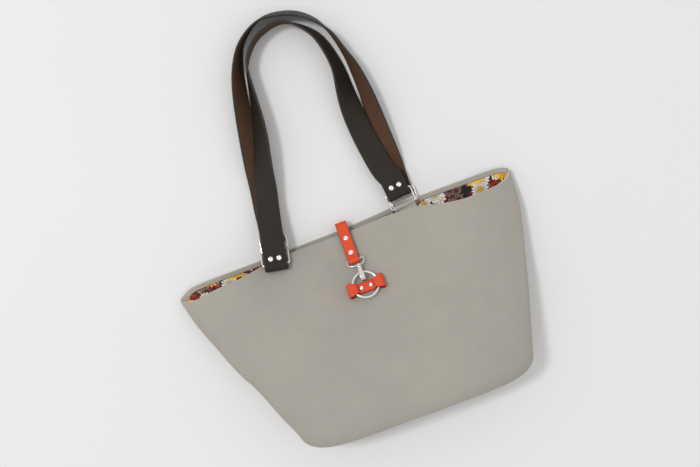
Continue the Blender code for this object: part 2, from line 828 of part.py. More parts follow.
def clasp_matrix():
    """Origin at the round ring's middle, just above the front panel, with Y along the panel."""
    x = CLASP_ACROSS
    y = MOUTH_LEVEL - CLASP_BELOW_MOUTH
    low_y, high_y = y - ROUND_RING_RADIUS, front_rim(x)
    low_z, high_z = front_height(x, low_y), front_height(x, high_y)
    slope = (high_z - low_z) / (high_y - low_y)
    bulge = 0.0
    for step in range(13):
        at = mix(low_y, high_y, step / 12)
        for side in (-HOLDER_LENGTH / 2, 0.0, HOLDER_LENGTH / 2):
            bulge = max(bulge, front_height(x + side, at) - (low_z + slope * (at - low_y)))
    along = Vector((0.0, 1.0, slope)).normalized()
    face = Vector((1.0, 0.0, 0.0)).cross(along)
    origin = Vector((x, y, low_z + slope * (y - low_y) + bulge))
    return turn_to(Vector((1.0, 0.0, 0.0)), along, face, origin)


def closure_layers():
    """Heights off the panel of the closure strap's under and upper layer."""
    under = 2 * CLEARANCE + BACK_CAP_HEIGHT + CLOSURE_THICKNESS / 2
    return under, under + CLOSURE_THICKNESS + CLEARANCE


def closure_path(clasp):
    """(along, up) points of the closure strap: tail, round the D ring, up the panel and over the mouth."""
    under, upper = closure_layers()
    bar_height = under + CLOSURE_THICKNESS / 2 + CLEARANCE + D_RING_WIRE / 2
    wide = D_RING_WIRE / 2 + CLEARANCE + CLOSURE_THICKNESS / 2
    inverse = clasp.inverted()
    x = clasp.translation.x + CLOSURE_OFFSET
    rim = inverse @ Vector((x, front_rim(x), front_height(x, front_rim(x))))
    tail_end = CLOSURE_RIVET_LOW + CLOSURE_RIVET_SPACING + CLOSURE_TAIL_PAST
    path = [Vector((tail_end, under)), Vector((D_RING_BAR + CLOSURE_FOLD_RUN, under))]
    path += arc((D_RING_BAR - CLOSURE_FOLD_SLACK, bar_height), wide, 270.0, 90.0, 8)
    path += [Vector((D_RING_BAR + CLOSURE_FOLD_LEVEL, bar_height + wide))]
    path += [Vector((along, upper)) for along in (D_RING_BAR + CLOSURE_FOLD_RUN, CLOSURE_RIVET_LOW)]
    path += [Vector((rim.y - CLOSURE_THICKNESS, upper))]
    slope = math.atan2(clasp.col[1].z, clasp.col[1].y)
    start = clasp @ Vector((0.0, rim.y + CLOSURE_REACH * 0.5, upper))
    inner = SHELL_WALL + LAYER_GAP + FACING_WALL + CLEARANCE + CLOSURE_THICKNESS / 2
    radius = (start.z - inner) / (1.0 + math.cos(slope))
    centre = start + Vector((0.0, math.sin(slope), -math.cos(slope))) * radius
    bend = arc((centre.y, centre.z), radius, math.degrees(slope) + 90.0, -90.0, 8)
    inside = [Vector((back_rim(x), inner)), Vector((back_rim(x) - CLOSURE_INSIDE, inner))]
    for point in bend + inside:
        local = inverse @ Vector((x, point.x, point.y))
        path.append(Vector((local.y, local.z)))
    return path


def make_closure(parent, clasp):
    along, face = Vector((0.0, 1.0, 0.0)), Vector((0.0, 0.0, 1.0))
    frames = flat_frames(closure_path(clasp), Vector((CLOSURE_OFFSET, 0.0, 0.0)), along, face)
    mesh = ribbon("closure_strap", frames, [CLOSURE_WIDTH] * len(frames), CLOSURE_THICKNESS)
    strap = add_object("closure_strap", mesh, "orange_leather", parent)
    under, upper = closure_layers()
    grip = 2 * CLOSURE_THICKNESS + CLEARANCE
    rivet = rivet_mesh("closure_rivet", grip, back_height=BACK_CAP_HEIGHT)
    for index in range(2):
        place = CLOSURE_RIVET_LOW + index * CLOSURE_RIVET_SPACING
        matrix = Matrix.Translation((CLOSURE_OFFSET, place, (under + upper) / 2))
        cutter = hole_cutter(f"closure_hole_{index + 1}", grip * 2, matrix, parent)
        combine(strap, cutter, "DIFFERENCE")
        place_rivet(f"closure_rivet_{index + 1}", rivet, matrix, parent)


def hook_levels():
    """Heights off the panel: the gate's pin, the round ring's wire in the eye, the stem and the spine."""
    gate = HOOK_LIFT + HOOK_THICKNESS / 2
    inner = gate + GATE_THICKNESS / 2
    wire = inner + 0.68 * HOOK_EYE
    spine = inner + HOOK_EYE + HOOK_THICKNESS / 2
    return gate, wire, (gate + spine) / 2 + STEM_LIFT, spine


def round_ring_matrix():
    """The round ring rests on its holder's under layer and is lifted by the hook."""
    low = CLEARANCE * 2 + HOLDER_THICKNESS + ROUND_RING_WIRE / 2
    wire = hook_levels()[1]
    tilt = math.asin((wire - low) / (2 * ROUND_RING_RADIUS))
    return Matrix.Translation((0.0, 0.0, (wire + low) / 2)) @ Matrix.Rotation(tilt, 4, "X")


def make_rings_of_clasp(parent):
    place = round_ring_matrix()
    turns = [2.0 * math.pi * i / 28 for i in range(28)]
    circle = [place @ (Vector((math.cos(a), math.sin(a), 0.0)) * ROUND_RING_RADIUS) for a in turns]
    wire_loop("clasp_ring", circle, ROUND_RING_WIRE / 2, parent)
    under = closure_layers()[0]
    bar = Vector((D_RING_OFFSET, D_RING_BAR, 0.0))
    bar.z = under + CLOSURE_THICKNESS / 2 + CLEARANCE + D_RING_WIRE / 2
    stem = hook_levels()[2]
    drop = stem - bar.z
    down = Vector((0.0, -math.sqrt(D_RING_DEPTH**2 - drop**2), drop)) / D_RING_DEPTH
    half = D_RING_WIDTH / 2
    path = []
    for i in range(17):
        angle = math.pi * i / 16
        x = math.copysign(abs(math.cos(angle)) ** (2 / 3), math.cos(angle)) * half
        y = abs(math.sin(angle)) ** (2 / 3) * D_RING_DEPTH
        path.append(bar + Vector((x, 0.0, 0.0)) + down * y)
    wire_loop("closure_d_ring", path, D_RING_WIRE / 2, parent)


def make_holder(parent, shells):
    under = CLEARANCE + HOLDER_THICKNESS / 2
    waist = under + HOLDER_THICKNESS + CLEARANCE
    round_wire = ROUND_RING_WIRE / 2 + CLEARANCE + HOLDER_THICKNESS / 2
    half = HOLDER_LENGTH / 2
    edge = HOLDER_END_WIDTH / 2 + HOLDER_OFFSET
    top = (round_ring_matrix() @ Vector((0.0, edge, 0.0))).z + round_wire
    bend = (top - under) / 2
    turn = half - HOLDER_THICKNESS / 2 - bend
    right = [Vector((ROUND_RING_RADIUS * share, mix(waist, top, rise))) for share, rise in HOLDER_RISE]
    right += arc((turn, (top + under) / 2), bend, 90.0, -90.0, 8)
    left = [Vector((-p.x, p.y)) for p in right]
    seam = HOLDER_THICKNESS / 4
    path = [Vector((-seam, under))] + left[::-1] + right + [Vector((seam, under))]
    middle = Vector((0.0, HOLDER_OFFSET, 0.0))
    frames = flat_frames(path, middle, Vector((1.0, 0.0, 0.0)), Vector((0.0, 0.0, 1.0)))
    waist_x, end_x = ROUND_RING_RADIUS * 0.84, ROUND_RING_RADIUS * 1.15
    widths = [mix(HOLDER_WAIST, HOLDER_END_WIDTH, ease(waist_x, end_x, abs(p.x))) for p in path]
    mesh = ribbon("ring_holder", frames, widths, HOLDER_THICKNESS)
    holder = add_object("ring_holder", mesh, "orange_leather", parent)
    wall = SHELL_WALL + LAYER_GAP + LINING_WALL
    high = waist + HOLDER_THICKNESS / 2
    low = -wall * 1.5
    rivet = rivet_mesh("holder_rivet", high - low, HOLDER_RIVET_CAP)
    for index, side in enumerate((-1, 1), start=1):
        matrix = Matrix.Translation((side * HOLDER_RIVET_SPACING / 2, HOLDER_OFFSET, (high + low) / 2))
        cutter = hole_cutter(f"holder_hole_{index}", (high - low) * 2, matrix, parent)
        for obj in (holder, *shells):
            combine(obj, cutter, "DIFFERENCE")
        place_rivet(f"holder_rivet_{index}", rivet, matrix, parent)


def make_snap(parent):
    gate_level, wire_level, stem_level, spine_level = hook_levels()
    wire_y = (round_ring_matrix() @ Vector((0.0, ROUND_RING_RADIUS, 0.0))).y
    bow_radius = (spine_level - gate_level) / 2
    bow = (wire_y - HOOK_BOW_END + bow_radius + HOOK_THICKNESS / 2, (spine_level + gate_level) / 2)
    nose = bow[0] + GATE_THICKNESS * 0.6
    gate_tip = nose + CLEARANCE
    pin = gate_tip + GATE_LENGTH
    shoulder = pin - GATE_PIN
    ends = (shoulder + HOOK_THICKNESS * 0.9, bow[0] + HOOK_THICKNESS * 0.4)
    path = [Vector((end, spine_level)) for end in ends]
    path += arc(bow, bow_radius, 90.0, 270.0, 10) + [Vector((nose, gate_level))]
    frames = flat_frames(path, Vector((0.0, 0.0, 0.0)), Vector((0.0, 1.0, 0.0)), Vector((0.0, 0.0, 1.0)))
    widths = [mix(HOOK_WIDTH * 0.86, HOOK_WIDTH * 1.12, ease(shoulder, bow[0], p.x)) for p in path]
    widths[-1] = HOOK_WIDTH * 0.7
    hook = add_object("snap_hook", ribbon("snap_hook", frames, widths, HOOK_THICKNESS), "nickel", parent)

    half = HOOK_WIDTH * 0.43
    low = (-half, shoulder + JOIN_OVERLAP, gate_level + 2 * GATE_PIN)
    high = (half, pin + GATE_PIN * 1.15, spine_level + HOOK_THICKNESS * 0.4)
    combine(hook, helper("hook_shoulder", block("hook_shoulder", low, high), parent), "UNION")
    lying = Matrix.Rotation(math.radians(-90.0), 4, "X")
    stem_place = Matrix.Translation((0.0, 0.0, stem_level)) @ lying
    collar_low = high[1] + CLEARANCE
    stem_top = collar_low + COLLAR_LENGTH * 0.5
    stem = rod("hook_stem", STEM_RADIUS, shoulder + HOOK_THICKNESS / 2, stem_top)
    combine(hook, helper("hook_stem", stem, parent, stem_place), "UNION")
    sideways = Matrix.Translation((0.0, pin, gate_level)) @ Matrix.Rotation(math.radians(90.0), 4, "Y")
    ear, ear_radius = HOOK_WIDTH * 0.19, GATE_PIN * 1.15
    for name, inner in (("ear_left", -half - JOIN_OVERLAP), ("ear_right", half + JOIN_OVERLAP - ear)):
        low = (inner, pin - ear_radius * 0.7, gate_level)
        high = (inner + ear, pin + ear_radius * 0.7, gate_level + 3 * GATE_PIN)
        combine(hook, helper(name, block(name, low, high), parent), "UNION")
        disc = rod(f"{name}_disc", ear_radius, inner - JOIN_OVERLAP / 2, inner + ear + JOIN_OVERLAP / 2)
        combine(hook, helper(f"{name}_disc", disc, parent, sideways), "UNION")
    pin_rod = rod("gate_pin", GATE_PIN / 2, -half, half, 8)
    combine(hook, helper("gate_pin", pin_rod, parent, sideways), "UNION")

    axis = bpy.data.objects.new("gate_axis", None)
    bpy.context.scene.collection.objects.link(axis)
    axis.parent = parent
    axis.location = (0.0, pin, gate_level)
    room = half - ear - CLEARANCE
    bar = block(
        "snap_gate",
        (-room, gate_tip - pin, -GATE_THICKNESS / 2),
        (room, -GATE_PIN / 2, GATE_THICKNESS / 2),
    )
    gate = add_object("snap_gate", bar, "nickel", axis)
    turn = Matrix.Rotation(math.radians(90.0), 4, "Y")
    barrel = rod("gate_barrel", GATE_PIN, -room, room)
    combine(gate, helper("gate_barrel", barrel, axis, turn), "UNION")
    bore = rod("gate_bore", GATE_PIN / 2 + CLEARANCE, -HOOK_WIDTH, HOOK_WIDTH)
    combine(gate, helper("gate_bore", bore, axis, turn), "DIFFERENCE")
    make_swivel(parent, stem_place, collar_low)


def make_swivel(parent, stem_place, collar_low):
    """The collar holds the hook's stem, and its eye holds the D ring's bow."""
    bore = STEM_RADIUS + CLEARANCE
    eye_bore = D_RING_WIRE / 2 + EYE_ROOM
    eye_radius = eye_bore + EYE_WALL
    collar_top = collar_low + COLLAR_LENGTH
    profile = (
        (0.0, collar_low + COLLAR_LENGTH * 0.6),
        (bore, collar_low + COLLAR_LENGTH * 0.6),
        (bore, collar_low),
        (COLLAR_RADIUS * 0.85, collar_low),
        (COLLAR_RADIUS, collar_low + COLLAR_LENGTH * 0.25),
        (COLLAR_RADIUS, collar_low + COLLAR_LENGTH * 0.75),
        (COLLAR_RADIUS * 0.85, collar_top),
        (0.0, collar_top),
    )
    swivel = add_object("snap_swivel", turned("snap_swivel", profile, 16), "nickel", parent)
    swivel.matrix_local = stem_place
    stem_level = hook_levels()[2]
    under = closure_layers()[0]
    bar_z = under + CLOSURE_THICKNESS / 2 + CLEARANCE + D_RING_WIRE / 2
    bow_y = D_RING_BAR - math.sqrt(D_RING_DEPTH**2 - (stem_level - bar_z) ** 2)
    turn = Matrix.Translation((0.0, bow_y, stem_level)) @ Matrix.Rotation(math.radians(90.0), 4, "Y")
    eye = rod("swivel_eye", eye_radius, -EYE_WIDTH / 2, EYE_WIDTH / 2)
    combine(swivel, helper("swivel_eye", eye, parent, turn), "UNION")
    hole = rod("swivel_eye_hole", eye_bore, -COLLAR_RADIUS * 2, COLLAR_RADIUS * 2)
    combine(swivel, helper("swivel_eye_hole", hole, parent, turn), "DIFFERENCE")


# The whole bag


def settle_on_origin(root):
    """Moves the whole bag so that the origin is at the middle of its box, on the floor."""
    bpy.context.view_layer.update()
    graph = bpy.context.evaluated_depsgraph_get()
    low, high = Vector((1e9,) * 3), Vector((-1e9,) * 3)
    for obj in bpy.context.scene.objects:
        if obj.type not in ("MESH", "CURVE") or obj.hide_render:
            continue
        evaluated = obj.evaluated_get(graph)
        mesh = evaluated.to_mesh()
        for vert in mesh.vertices:
            place = evaluated.matrix_world @ vert.co
            low = Vector(map(min, low, place))
            high = Vector(map(max, high, place))
        evaluated.to_mesh_clear()
    root.location = (-(low.x + high.x) / 2, -(low.y + high.y) / 2, -low.z)


def main():
    clear_scene()
    root = bpy.data.objects.new("bag_frame", None)
    bpy.context.scene.collection.objects.link(root)
    shells = make_body(root)
    for key in RING_PLACES:
        make_ring_and_tab(key, root)
    make_handle("front_handle", FRONT_HANDLE, "front_left", "front_right", root)
    make_handle("back_handle", BACK_HANDLE, "back_left", "back_right", root)
    clasp = clasp_matrix()
    panel = bpy.data.objects.new("clasp_frame", None)
    bpy.context.scene.collection.objects.link(panel)
    panel.parent = root
    panel.matrix_local = clasp
    make_closure(panel, clasp)
    make_rings_of_clasp(panel)
    make_holder(panel, shells)
    make_snap(panel)
    settle_on_origin(root)


main()
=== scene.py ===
"""The looks of a leather shoulder bag that lies on its back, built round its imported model.

All sizes are in metres. The bag's own frame is the model's, moved by SHIFT: +X is the bag's right,
+Y runs from the base to the mouth and the handles, and +Z is up from the floor.
"""

import math

import bmesh
import bpy
import numpy as np
from mathutils import Matrix, Vector, noise


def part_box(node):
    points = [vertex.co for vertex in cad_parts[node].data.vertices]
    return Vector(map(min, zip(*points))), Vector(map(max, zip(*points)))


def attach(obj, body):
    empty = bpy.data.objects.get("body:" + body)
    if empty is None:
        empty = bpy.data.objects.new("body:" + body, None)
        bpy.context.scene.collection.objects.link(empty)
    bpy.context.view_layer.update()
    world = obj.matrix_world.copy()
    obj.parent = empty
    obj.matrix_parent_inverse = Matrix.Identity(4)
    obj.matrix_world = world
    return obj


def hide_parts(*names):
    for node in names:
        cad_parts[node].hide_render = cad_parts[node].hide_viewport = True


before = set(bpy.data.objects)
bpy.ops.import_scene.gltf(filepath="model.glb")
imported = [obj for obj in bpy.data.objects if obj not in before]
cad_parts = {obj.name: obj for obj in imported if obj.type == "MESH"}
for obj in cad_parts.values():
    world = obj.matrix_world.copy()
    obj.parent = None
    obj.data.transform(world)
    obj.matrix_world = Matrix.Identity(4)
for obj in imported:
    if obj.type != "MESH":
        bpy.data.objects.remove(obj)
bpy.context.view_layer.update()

# Overall sizes of the bag, in metres
MOUTH_WIDTH = 0.4576
BASE_WIDTH = 0.3057
BASE_SKEW = 0.0167
BAG_HEIGHT = 0.241
BASE_DEPTH = 0.085
MOUTH_GAPE = 0.024
MOUTH_CENTRE = -0.0092
MOUTH_LEVEL = 0.040

# Leather and cloth
SHELL_WALL = 0.002
LINING_WALL = 0.001
FACING_WALL = 0.0012
FACING_DEPTH = 0.009
LAYER_GAP = 0.0005
CLEARANCE = 0.0003
FLOOR_GAP = 0.0004

# Base corners and edges
CORNER_REACH = 0.038
CORNER_DEPTH = 0.022
EDGE_RADIUS = 0.009
BACK_FLATNESS = 0.02
CROWN = 0.06

# Handles and their rings
HANDLE_SPAN = 0.178
HANDLE_REACH = 0.300
STRAP_WIDTH = 0.030
STRAP_THICKNESS = 0.003
FOLD_SLACK = 0.0037
TAIL_LENGTH = 0.024
RING_WIRE = 0.0028
RING_PITCH = 0.0185
RING_CORNER = 0.0018
TAB_WIDTH = 0.028
TAB_THICKNESS = 0.0015
TAB_INSIDE = 0.020
TAB_LIFT_START = 0.0065
TAB_PAST_RIM = 0.0010
TAB_STEEPNESS = 50.0
WALL_ROOM = 0.0010

# Rivets
RIVET_POST = 0.0025
RIVET_CAP = 0.0068
CAP_HEIGHT = 0.0012
BACK_CAP_HEIGHT = 0.0009
HANDLE_RIVET_SETBACK = 0.0076
HANDLE_RIVET_SPACING = 0.0108
HOLDER_RIVET_SPACING = 0.0126
HOLDER_RIVET_CAP = 0.0056

# Closure strap and clasp, along the front panel from the round ring's centre towards the mouth
CLASP_ACROSS = -0.0055
CLASP_BELOW_MOUTH = 0.0685
CLOSURE_WIDTH = 0.015
CLOSURE_THICKNESS = 0.002
CLOSURE_OFFSET = -0.0035
CLOSURE_REACH = 0.0165
CLOSURE_INSIDE = 0.024
CLOSURE_RIVET_LOW = 0.0465
CLOSURE_RIVET_SPACING = 0.0204
CLOSURE_TAIL_PAST = 0.006
CLOSURE_FOLD_SLACK = 0.0015
CLOSURE_FOLD_LEVEL = 0.0005
CLOSURE_FOLD_RUN = 0.006
D_RING_BAR = 0.036
D_RING_WIDTH = 0.022
D_RING_DEPTH = 0.0098
D_RING_WIRE = 0.0019
D_RING_OFFSET = -0.0021
ROUND_RING_RADIUS = 0.0163
ROUND_RING_WIRE = 0.0034
HOLDER_LENGTH = 0.0486
HOLDER_WAIST = 0.0135
HOLDER_END_WIDTH = 0.0178
HOLDER_THICKNESS = 0.0016
HOLDER_OFFSET = -0.0021

# Snap hook
HOOK_WIDTH = 0.0058
HOOK_THICKNESS = 0.0024
HOOK_EYE = 0.00655
HOOK_BOW_END = 0.0107
GATE_LENGTH = 0.0079
GATE_THICKNESS = 0.0016
GATE_PIN = 0.0016
COLLAR_RADIUS = 0.0036
COLLAR_LENGTH = 0.0030
STEM_RADIUS = 0.0014
HOOK_LIFT = 0.0012
STEM_LIFT = 0.001
EYE_ROOM = 0.0005
EYE_WALL = 0.0009
EYE_WIDTH = 0.0044
JOIN_OVERLAP = 0.0002

# Half of the hook's shoulder, the thickness of each ear beside the gate, and what turns a rod sideways
HOOK_HALF = HOOK_WIDTH * 0.43
EAR = HOOK_WIDTH * 0.19
EAR_RADIUS = GATE_PIN * 1.15
QUARTER_TURN = math.radians(90.0)
SIDEWAYS = Matrix.Rotation(QUARTER_TURN, 4, "Y")

# Side lines of the bag: height share, share of the way from base width to mouth width, left and right
SIDE_SPREAD = (
    (0.00, -0.040, -0.060),
    (0.08, 0.000, 0.000),
    (0.25, 0.185, 0.222),
    (0.42, 0.375, 0.452),
    (0.50, 0.494, 0.556),
    (0.60, 0.620, 0.680),
    (0.70, 0.723, 0.800),
    (0.85, 0.881, 0.952),
    (1.00, 1.000, 1.000),
)

# Thickness of the lying bag along its middle: height share, share of BASE_DEPTH
DEPTH_PROFILE = (
    (0.00, 1.000),
    (0.10, 0.995),
    (0.20, 0.935),
    (0.35, 0.825),
    (0.50, 0.705),
    (0.60, 0.610),
    (0.70, 0.507),
    (0.85, 0.345),
    (1.00, 0.190),
)

# The mouth: share across, back rim and front rim beyond the mouth level as shares of BAG_HEIGHT,
# and how much the slit gapes there as a share of MOUTH_GAPE
RIM = (
    (-1.000, -0.008, -0.050, 0.25),
    (-0.920, 0.023, -0.059, 0.58),
    (-0.780, 0.025, -0.038, 0.78),
    (-0.620, 0.026, -0.025, 0.60),
    (-0.490, 0.027, -0.004, 0.26),
    (-0.330, 0.030, 0.010, 0.08),
    (-0.020, 0.036, 0.011, 0.00),
    (0.220, 0.049, 0.021, 0.05),
    (0.400, 0.062, 0.017, 0.19),
    (0.600, 0.064, -0.022, 0.70),
    (0.720, 0.064, -0.034, 1.00),
    (0.875, 0.068, -0.034, 0.86),
    (0.960, 0.070, -0.022, 0.55),
    (1.000, 0.054, 0.012, 0.28),
)

# A section's sides: height share, superellipse's exponent, share of the half width at which the side starts
SQUARENESS = ((0.0, 6.0, 0.95), (0.4, 5.0, 0.95), (0.8, 3.6, 0.95), (1.0, 3.0, 0.95))

# Handle centre lines: share of HANDLE_SPAN across from the mouth's middle, share of HANDLE_REACH beyond
# the mouth level, tilt of the outer face above the horizon in degrees, and how far the strap
# keeps its ring's height
FRONT_HANDLE = (
    (-0.462, 0.198, 90, 0.67),
    (-0.428, 0.280, 78, 0.45),
    (-0.378, 0.404, 54, 0.38),
    (-0.321, 0.527, 39, 0.26),
    (-0.286, 0.659, 22, 0.12),
    (-0.262, 0.774, 9.5, 0.0),
    (-0.221, 0.857, 2, 0.0),
    (-0.121, 0.923, 1, 0.0),
    (0.024, 0.954, 2, 0.0),
    (0.163, 0.932, 11, 0.0),
    (0.263, 0.880, 19, 0.0),
    (0.326, 0.817, 26, 0.0),
    (0.366, 0.712, 31, 0.0),
    (0.363, 0.610, 46, 0.03),
    (0.359, 0.527, 64, 0.18),
    (0.371, 0.404, 84, 0.46),
    (0.398, 0.280, 90, 0.70),
    (0.424, 0.198, 90, 0.88),
)
BACK_HANDLE = (
    (-0.484, 0.198, -90, 0.5),
    (-0.457, 0.297, -82, 0.1),
    (-0.440, 0.404, -65, 0.0),
    (-0.415, 0.527, -50, 0.0),
    (-0.382, 0.659, -39, 0.0),
    (-0.344, 0.774, -27, 0.0),
    (-0.293, 0.858, -16, 0.0),
    (-0.226, 0.926, -2, 0.0),
    (-0.115, 0.977, 7, 0.0),
    (0.040, 0.997, 19, 0.0),
    (0.190, 0.974, 21.5, 0.0),
    (0.290, 0.934, 19, 0.0),
    (0.363, 0.880, 10, 0.0),
    (0.418, 0.817, 0, 0.0),
    (0.451, 0.741, -5, 0.0),
    (0.478, 0.669, -18, 0.0),
    (0.496, 0.567, -29, 0.0),
    (0.501, 0.478, -38, 0.0),
    (0.498, 0.379, -51, 0.0),
    (0.497, 0.280, -68, 0.0),
    (0.497, 0.198, -88, 0.5),
)

# Where each ring's strap bar lies: share of HANDLE_SPAN across from the mouth's middle, share of
# RING_PITCH beyond its own rim, and heading of the strap in degrees from +Y towards +X
RING_PLACES = {
    "front_left": (-0.530, -0.315, 10.0),
    "front_right": (0.466, 1.361, -6.0),
    "back_left": (-0.502, 1.194, 7.0),
    "back_right": (0.493, 0.848, 0.0),
}

# Places along a strap's end from the ring's bar, as shares of the rivets' setback: where the two
# layers close, where the tail and the strap part, where the fold ends and where the strap may bend
STRAP_END = (0.55, 1.5, 1.8, 2.6)

# The ring holder's upper layer, from the rivets up over the round ring: share of the ring's radius,
# share of the way up
HOLDER_RISE = (
    (0.550, 0.00),
    (0.585, 0.02),
    (0.645, 0.19),
    (0.668, 0.45),
    (0.700, 0.73),
    (0.775, 0.94),
    (0.880, 1.00),
)

# How finely the surfaces are divided
FRONT_STEPS = 128
SIDE_STEPS = 28
STRAP_STEPS = 10
ROUND_STEPS = 40
WIRE_SIDES = 20
WIRE_CORNER_STEPS = 10
ROUND_RING_STEPS = 96
D_RING_STEPS = 64
SHELL_ROWS = 120
SHELL_EDGE_ROWS = 12
LINING_ROWS = 70
STRAP_COLUMNS = 6
STRAP_EDGE_STEPS = 4
STRAP_SMOOTHING = 18


def mix(low, high, share):
    return low + (high - low) * share


def ease(low, high, value):
    share = min(1.0, max(0.0, (value - low) / (high - low)))
    return share * share * (3.0 - 2.0 * share)


def smooth_table(rows, column, at):
    """The column's value at this first column's value, through the rows by a cubic without overshoot."""
    at = min(max(at, rows[0][0]), rows[-1][0])
    index = 0
    while index < len(rows) - 2 and at > rows[index + 1][0]:
        index += 1
    steps = [(b[column] - a[column]) / (b[0] - a[0]) for a, b in zip(rows, rows[1:])]

    def slope(i):
        if i == 0 or i == len(rows) - 1:
            return steps[min(i, len(steps) - 1)]
        before, after = steps[i - 1], steps[i]
        return 0.0 if before * after <= 0 else 2.0 * before * after / (before + after)

    here, there = rows[index], rows[index + 1]
    width = there[0] - here[0]
    t = (at - here[0]) / width
    return (
        (2 * t**3 - 3 * t**2 + 1) * here[column]
        + (t**3 - 2 * t**2 + t) * width * slope(index)
        + (3 * t**2 - 2 * t**3) * there[column]
        + (t**3 - t**2) * width * slope(index + 1)
    )


def spline(points, steps):
    """A centripetal curve through the points, with this many steps between two of them."""
    ends = [2 * points[0] - points[1], *points, 2 * points[-1] - points[-2]]
    curve = []
    for p0, p1, p2, p3 in zip(ends, ends[1:], ends[2:], ends[3:]):
        t1 = (p1 - p0).length ** 0.5
        t2 = t1 + (p2 - p1).length ** 0.5
        t3 = t2 + (p3 - p2).length ** 0.5
        for step in range(steps):
            t = mix(t1, t2, step / steps)
            a1 = p0.lerp(p1, t / t1)
            a2 = p1.lerp(p2, (t - t1) / (t2 - t1))
            a3 = p2.lerp(p3, (t - t2) / (t3 - t2))
            b1 = a1.lerp(a2, t / t2)
            b2 = a2.lerp(a3, (t - t1) / (t3 - t1))
            curve.append(b1.lerp(b2, (t - t1) / (t2 - t1)))
    return [*curve, points[-1].copy()]


def arc(centre, radius, start, end, steps):
    """Points of a flat arc, from the start angle to the end angle in degrees."""
    angles = [math.radians(mix(start, end, i / steps)) for i in range(steps + 1)]
    return [Vector((centre[0] + radius * math.cos(a), centre[1] + radius * math.sin(a))) for a in angles]


def flat_frames(path, origin, along, up):
    """Frames of a strap that bends in one plane only, from its path of (along, up) points."""
    across = along.cross(up)
    frames = []
    for i, point in enumerate(path):
        before = (point - path[i - 1]).normalized() if i else None
        after = (path[i + 1] - point).normalized() if i + 1 < len(path) else None
        heading = (after if before is None else before if after is None else before + after).normalized()
        face = along * heading.y - up * heading.x
        frames.append((origin + along * point.x + up * point.y, across, face))
    return frames


def turn_to(x_axis, y_axis, z_axis, origin):
    columns = Matrix((x_axis, y_axis, z_axis)).transposed().to_4x4()
    columns.translation = origin
    return columns


def base_rounding(height):
    """Share of the corner reach and of the edge radius that the section loses near the base."""
    along = min(1.0, height * BAG_HEIGHT / CORNER_DEPTH)
    return 1.0 - math.sqrt(1.0 - (1.0 - along) ** 2)


def half_widths(height):
    """Left and right half widths, and the middle they're measured from."""
    loss = CORNER_REACH * base_rounding(height)
    left = mix(BASE_WIDTH / 2 - BASE_SKEW, MOUTH_WIDTH / 2, smooth_table(SIDE_SPREAD, 1, height))
    right = mix(BASE_WIDTH / 2 + BASE_SKEW, MOUTH_WIDTH / 2, smooth_table(SIDE_SPREAD, 2, height))
    return left - loss, right - loss


def thickness_at(height, across):
    """The lying bag's thickness, with the mouth's slit opening at both ends."""
    body = BASE_DEPTH * smooth_table(DEPTH_PROFILE, 1, height) * (1.0 - CROWN * across**2)
    return body + MOUTH_GAPE * smooth_table(RIM, 3, across) * ease(0.5, 1.0, height)


def rim_line(across, rise):
    """The rim's place along Y, from the back rim at rise 0 to the front rim at rise 1."""
    back, front = smooth_table(RIM, 1, across), smooth_table(RIM, 2, across)
    return MOUTH_LEVEL + BAG_HEIGHT * mix(back, front, ease(0.0, 1.0, rise))


def base_line():
    return MOUTH_LEVEL - BAG_HEIGHT


def section_shape(height):
    """(across share, rise share) round a section: front, down the left, back, up the right."""
    power, side_start = smooth_table(SQUARENESS, 1, height), smooth_table(SQUARENESS, 2, height)
    flats = [mix(side_start, -side_start, i / FRONT_STEPS) for i in range(FRONT_STEPS + 1)]
    corner = math.acos(side_start ** (power / 2))
    sides = []
    for i in range(1, SIDE_STEPS):
        turn = mix(corner, -corner, i / SIDE_STEPS)
        tall = math.copysign(abs(math.sin(turn)) ** (2 / power), turn)
        sides.append((abs(math.cos(turn)) ** (2 / power), tall))
    top = [(s, (1.0 - abs(s) ** power) ** (1 / power)) for s in flats]
    shape = top + [(-s, h) for s, h in sides]
    shape += [(s, -h) for s, h in reversed(top)] + [(s, h) for s, h in reversed(sides)]
    return [(s, max(0.0, (0.5 + 0.5 * h - BACK_FLATNESS) / (1.0 - BACK_FLATNESS))) for s, h in shape]


def section(height, inset):
    """One loop of the bag's surface, moved inwards by the inset."""
    left, right = half_widths(height)
    edge = EDGE_RADIUS * base_rounding(height)
    loop = []
    for across, rise in section_shape(height):
        half = (left if across < 0 else right) - inset
        tall = thickness_at(height, across) - 2 * inset - 2 * edge
        base = base_line() + inset * (1.0 - ease(0.0, 0.3, height))
        y = mix(base, rim_line(across, rise), height)
        loop.append(Vector((MOUTH_CENTRE + across * half, y, inset + edge + rise * tall)))
    return loop


def front_height(x, y):
    """Height of the front panel's outer face above the floor at this place."""
    height = 0.8
    for _ in range(12):
        left, right = half_widths(height)
        across = (x - MOUTH_CENTRE) / (left if x < MOUTH_CENTRE else right)
        across = min(1.0, max(-1.0, across))
        height = (y - base_line()) / (rim_line(across, 1.0) - base_line())
        height = min(1.0, max(0.0, height))
    power = smooth_table(SQUARENESS, 1, height)
    rise = 0.5 + 0.5 * (1.0 - abs(across) ** power) ** (1 / power)
    return thickness_at(height, across) * rise


def front_rim(x):
    """The front rim's place along Y at this X."""
    return rim_line((x - MOUTH_CENTRE) / (MOUTH_WIDTH / 2), 1.0)


def back_rim(x):
    return rim_line((x - MOUTH_CENTRE) / (MOUTH_WIDTH / 2), 0.0)


